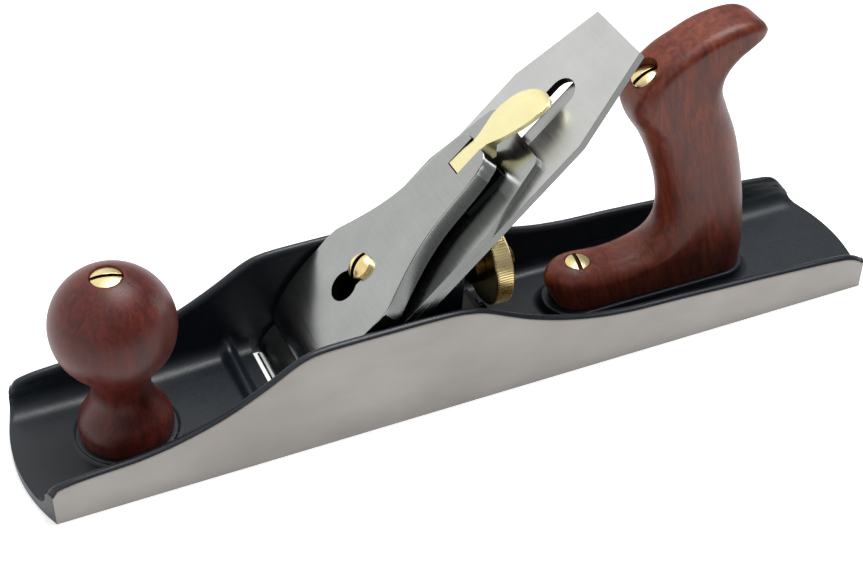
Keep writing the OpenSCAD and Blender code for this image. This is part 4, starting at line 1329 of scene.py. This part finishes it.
@dataclass
class LeverCap(SubAssembly):
    """The lever cap with its flat spring and pin."""

    body = Body.CAP
    top: float = CAP_TOP
    plate: float = 3.5
    end: float = 125.0
    end_radius: float = 5.0
    end_flat: float = 5.4
    wall: float = 3.0
    wall_start: float = 58.8
    wall_foot: float = 6.0
    front_wall: float = 2.4
    ear_s: float = 108.0
    edge_radius: float = 0.7
    foot_radius: float = 0.6
    round_edges: float = 0.3
    round_from: float = 40.0
    screw_s: float = CAP_SCREW_S
    neck_half: float = 4.7
    keyhole_s: float = 51.9
    keyhole_radius: float = 6.25
    cam_pin_s: float = 117.6
    cam_pin_off: float = 9.6
    sweep_radius: float = 7.0
    cam_gap: float = 3.75
    half_widths: tuple = (
        (15.5, 25.6), (30, 26.0), (45, 26.25), (53, 26.3), (58, 26.4), (62, 25.7), (66, 23.7), (72, 20.8), (78, 18.2),
        (84, 16.0), (90, 14.4), (96, 13.4), (104, 12.7), (112, 12.0), (118, 11.1), (120, 10.5))
    tops: tuple = (
        (15.5, 4.9), (17, 6.6), (20, 8.9), (24, 10.9), (30, 12.5), (37, 13.6), (45, 14.0), (60, 14.0), (130, 14.0))
    unders: tuple = ((15.5, 4.4), (16.6, 4.3), (20, 5.0), (25, 6.0), (32, 8.6), (40, 10.0), (54.8, 10.2))

    def rings(self) -> Array:
        """Cross sections from the hooked front to the round end.

        A ring goes over the top plate, round its edge on a quarter circle, down the side wall, and back inside the
        hollow. Past 120 mm the half width falls as 5.4 + 5 cos t while s rises as 120 + 5 sin t.

        Returns:
            Points as (ring, place round the ring, xyz).
        """
        turn = np.radians(np.linspace(0, 82, 12))
        s = np.unique(np.concatenate([
            np.linspace(15.5, 30, 22), np.arange(32, 108, 2), [58.4, 59.2, 61.1, 61.3, 107.9, 108.1],
            np.arange(109, 120, 1.5)]))
        half = profile(self.half_widths, s)
        s = np.concatenate([s, self.end - self.end_radius + self.end_radius * np.sin(turn)])
        half = np.concatenate([half, self.end_flat + self.end_radius * np.cos(turn)])
        top = np.interp(s, *smooth_curve(self.tops, 400).T)
        under = np.interp(s, *smooth_curve(self.unders, 300).T)
        foot = np.where(s < self.wall_start, under, self.wall_foot)
        hollow = (s > self.wall_start + self.front_wall) & (s < self.ear_s)
        roof = np.where(hollow, self.top - self.plate, foot)
        edge = np.minimum(self.edge_radius, 0.4 * (top - foot))
        low = np.minimum(self.foot_radius, 0.3 * (top - foot))
        s, half, top, foot, roof, edge, low = (v[:, None] for v in (s, half, top, foot, roof, edge, low))
        t = np.radians(np.linspace(0, 90, 7))[None, :]
        across = np.linspace(0, 1, 7)[None, :-1]
        side = np.linspace(0, 1, 5)[None, 1:]
        inner = half - self.wall
        y = np.hstack([
            (half - edge) * across, half - edge + edge * np.sin(t), half * np.ones_like(side),
            half - low * (1 - np.cos(t)), inner, inner, inner - 1.0, inner * 0.5, 0 * s])
        off = np.hstack([
            top * np.ones_like(across), top - edge + edge * np.cos(t), (top - edge) * (1 - side) + (foot + low) * side,
            foot + low * (1 - np.sin(t)), foot, np.maximum(roof - 1.0, foot), roof, roof, roof])
        y = np.hstack([y, -y[:, -2:0:-1]])
        off = np.hstack([off, off[:, -2:0:-1]])
        return bed_point(s * np.ones_like(y), off, y)

    def on_bed(self, shell: Shell) -> Shell:
        """Turns a shell given in bed coordinates (s, y, off) into the frame's."""
        p = shell.points
        return Shell(bed_point(p[:, 0], p[:, 2], p[:, 1]), shell.faces)

    def block(self, s: tuple[float, float], half: float, off: tuple[float, float]) -> Shell:
        """A square tool on the bed, from one s and off to the other and half to each side."""
        return self.on_bed(prism([(s[0], off[0]), (s[1], off[0]), (s[1], off[1]), (s[0], off[1])], 2 * half))

    def drum(self, s: float, radius: float) -> Shell:
        """A round tool square to the bed, of a radius about s."""
        return self.on_bed(lathe([[0, 1], [radius, 1], [radius, 30], [0, 30]], (s, 0), 64))

    def cam_space(self) -> Shell:
        """The slot that the cam turns in: a round bottom about the pin, open behind.

        Returns:
            The cutting shell.
        """
        s, off, sweep = self.cam_pin_s, self.cam_pin_off, self.sweep_radius
        bowl_s, bowl_off = arc(sweep, sweep, 90, 180, 14)
        behind = self.end + 4
        rest = [[s - sweep, -5], [behind, -5], [behind, 20], [s, 20]]
        return self.on_bed(prism(np.vstack([np.stack([s + bowl_s, off + bowl_off], -1), rest]), 2 * self.cam_gap))

    def hollow_faces(self, centre: Array, normal: Array) -> Array:
        """Which faces get near-black painted shade: those inside the walls, and the plate's thin edge in front of them.

        Args:
            centre: centres of the faces.
            normal: normals of the faces.

        Returns:
            True for each dark face.
        """
        s, off, y = on_bed(centre)
        inside = np.abs(y) < profile(self.half_widths, s) - self.wall + 0.3
        return (inside | (s < self.wall_start)) & (off < self.top - 0.5) & (normal @ BED_UP < 0.3) & (s > 24)

    def side_faces(self, centre: Array, normal: Array) -> Array:
        """Which faces are the outside of the walls, which get the darker grey.

        Args:
            centre: centres of the faces.
            normal: not used.

        Returns:
            True for each face in the darker grey.
        """
        s, off, y = on_bed(centre)
        outside = np.abs(y) > profile(self.half_widths, s) - 0.4
        return outside & (off < self.top - self.edge_radius) & (s > self.wall_start) & (s < self.ear_s + 10)

    def underside(self, centre: Array, normal: Array) -> Array:
        """Which faces look down at the blade, where painted shade darkens the brass."""
        return normal @ BED_UP < -0.3

    def build(self) -> None:
        """Makes the cap, cuts its keyhole and slot, and dresses what it holds."""
        obj = make_object("lever_cap_shape", loft(self.rings(), Cap.FLAT))
        cut(obj, self.drum(self.keyhole_s, self.keyhole_radius),
            self.block((self.keyhole_s, self.screw_s), self.neck_half, (1, 30)),
            self.drum(self.screw_s, self.neck_half), self.cam_space())
        dress(softened(obj, self.round_edges, self.round_from), PLATE, SHADE_BLACK, SIDE_GREY)
        # The outsides of the walls in a darker grey.
        paint_faces(obj, 2, self.side_faces)
        # Painted shade, near black, inside the walls and on the plate's thin front edges.
        paint_faces(obj, 1, self.hollow_faces)
        self.place(obj, "lever_cap")
        self.copies(BLUED, {"lever_cap_spring": 0.2, "spring_rivet": 0.1})
        self.copies(BRASS, {"cam_pin": 0.15})
        cam = dress(rounded_copy("cam_lever", self.round_edges), PALE_BRASS, SHADE_BRASS)
        # Painted shade, dark brown, on the faces that look down at the blade.
        paint_faces(cam, 1, self.underside)
        self.place(cam, "cam_lever", Body.CAM)


# ---------------------------------------------------------------- studio


@dataclass(frozen=True)
class DimSide:
    """One way in which the surround is darker: where along an axis that starts and is full, and the colour there."""

    axis: str
    start: float
    full: float
    colour: str


@dataclass
class Studio:
    """Camera, soft lamps and a white floor."""

    azimuth: float = -24.38
    elevation: float = 39.36
    roll: float = 0.79
    distance: float = 684.22
    focal_px: float = 1709.65
    aim_right: float = -10.02
    aim_up: float = 23.41
    sensor_mm: float = 36.0
    wall_colour: str = "#ffffff"
    # Towards the heel, towards the near side and overhead.
    dim_sides: tuple = (
        DimSide("X", 0.0, 0.6, "#86888e"), DimSide("Y", -0.45, -0.9, "#747478"), DimSide("Z", 0.7, 0.95, "#dfe0e4"))
    world_light: float = 0.5
    paper_half: float = 4000.0
    paper_z: float = -0.05
    paper_colour: str = "#f0f0f0"
    paper_glow: float = 0.62
    lamp_size_m: float = 0.9
    lamp_aim_m: Triple = (0, 0, 0.05)

    def camera(self) -> None:
        """Places the camera that was fitted to the photograph.

        It stands at aim + distance × back, and looks along −back. back is turned by azimuth and elevation, and the
        picture's right and up by the roll.
        """
        az, el, roll = (math.radians(a) for a in (self.azimuth, self.elevation, self.roll))
        back = np.array([math.sin(az) * math.cos(el), -math.cos(az) * math.cos(el), math.sin(el)])
        right = np.array([math.cos(az), math.sin(az), 0.0])
        up = np.cross(back, right)
        turned_right = math.cos(roll) * right + math.sin(roll) * up
        turned_up = -math.sin(roll) * right + math.cos(roll) * up
        place = self.aim_right * turned_right + self.aim_up * turned_up + self.distance * back
        data = bpy.data.cameras.new("camera")
        data.sensor_fit = "HORIZONTAL"
        data.sensor_width = self.sensor_mm
        data.lens = self.focal_px * self.sensor_mm / PHOTO_WIDTH_PX
        data.clip_start, data.clip_end = 0.01, 50
        matrix = np.eye(4)
        matrix[:3, 0], matrix[:3, 1], matrix[:3, 2], matrix[:3, 3] = turned_right, turned_up, back, place * MM
        camera = linked("camera", data)
        camera.matrix_world = Matrix(matrix.tolist())
        bpy.context.scene.camera = camera

    def seen(self, tree: bpy.types.NodeTree) -> bpy.types.NodeSocket:
        """1 for rays that show the surroundings themselves: the greatest of camera, glossy and transmission ray.

        Args:
            tree: the node tree.

        Returns:
            The 1 or 0.
        """
        camera, glossy, passing = (add_node(tree, "ShaderNodeLightPath", output=name) for name in (
            "Is Camera Ray", "Is Glossy Ray", "Is Transmission Ray"))
        either = add_node(tree, "ShaderNodeMath", {0: camera, 1: glossy}, operation="MAXIMUM")
        return add_node(tree, "ShaderNodeMath", {0: either, 1: passing}, operation="MAXIMUM")

    def world(self) -> None:
        """A pale surround that dims overhead, towards the near side and towards the heel.

        Each dim side takes over along its axis by a share that rises from 0 to 1 as 3t² − 2t³.
        """
        world = bpy.data.worlds.new("surround")
        world.use_nodes = True
        tree = world.node_tree
        tree.nodes.clear()
        way = add_node(tree, "ShaderNodeTexCoord", output="Generated")
        tint = linear(self.wall_colour)
        for side in self.dim_sides:
            part = add_node(tree, "ShaderNodeSeparateXYZ", {"Vector": way}, side.axis)
            inputs = {"Value": part, "From Min": side.start, "From Max": side.full}
            share = add_node(tree, "ShaderNodeMapRange", inputs, interpolation_type="SMOOTHSTEP")
            tint = add_node(tree, "ShaderNodeMix", {0: share, 6: tint, 7: linear(side.colour)}, 2, data_type="RGBA")
        lit = add_node(tree, "ShaderNodeBackground", {"Color": tint, "Strength": self.world_light})
        shown = add_node(tree, "ShaderNodeBackground", {"Color": tint, "Strength": 1.0})
        mix = add_node(tree, "ShaderNodeMixShader", {0: self.seen(tree), 1: lit, 2: shown})
        add_node(tree, "ShaderNodeOutputWorld", {"Surface": mix})
        bpy.context.scene.world = world

    def floor(self) -> None:
        """A white floor that keeps a faint shadow of the plane: paper, which glows where it is seen itself."""
        corners = np.array([(x * self.paper_half, y * self.paper_half, self.paper_z) for x, y in (
            (-1, -1), (1, -1), (1, 1), (-1, 1))])
        mesh = bpy.data.meshes.new("floor")
        mesh.from_pydata((corners * MM).tolist(), [], [[0, 1, 2, 3]])
        material = bpy.data.materials.new("matt_white_paper")
        material.use_nodes = True
        tree = material.node_tree
        tree.nodes.clear()
        paper = add_node(tree, "ShaderNodeBsdfDiffuse", {"Color": linear(self.paper_colour)})
        glow = add_node(tree, "ShaderNodeEmission", {"Color": linear("#ffffff"), "Strength": self.paper_glow})
        both = add_node(tree, "ShaderNodeAddShader", {0: paper, 1: glow})
        mix = add_node(tree, "ShaderNodeMixShader", {0: self.seen(tree), 1: paper, 2: both})
        add_node(tree, "ShaderNodeOutputMaterial", {"Surface": mix})
        mesh.materials.append(material)
        linked("floor", mesh)

    def lamp(self, name: str, place: Triple, power: float) -> None:
        """A square soft lamp that faces the plane.

        Args:
            name: its name.
            place: where it stands, in metres.
            power: its power in watts.
        """
        data = bpy.data.lights.new(name, "AREA")
        data.size = self.lamp_size_m
        data.energy = power
        lamp = linked(name, data)
        lamp.location = place
        lamp.rotation_euler = (Vector(place) - Vector(self.lamp_aim_m)).to_track_quat("Z", "Y").to_euler()

    def build(self) -> None:
        """Sets up the studio."""
        self.camera()
        self.world()
        self.floor()
        self.lamp("key", (0.4, 0.2, 1.6), 24)
        self.lamp("fill", (-0.9, -1.2, 0.9), 1)
        bpy.context.scene.view_settings.view_transform = "Standard"


def main() -> None:
    """Builds the studio and every group in order."""
    logging.basicConfig(level=logging.INFO, format="%(name)s: %(message)s")
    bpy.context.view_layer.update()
    for group in (Studio, Casting, Knob, Tote, Frog, DepthAdjuster, LateralAdjuster, CuttingUnit, LeverCap):
        group().build()


if __name__ == "__main__":
    main()
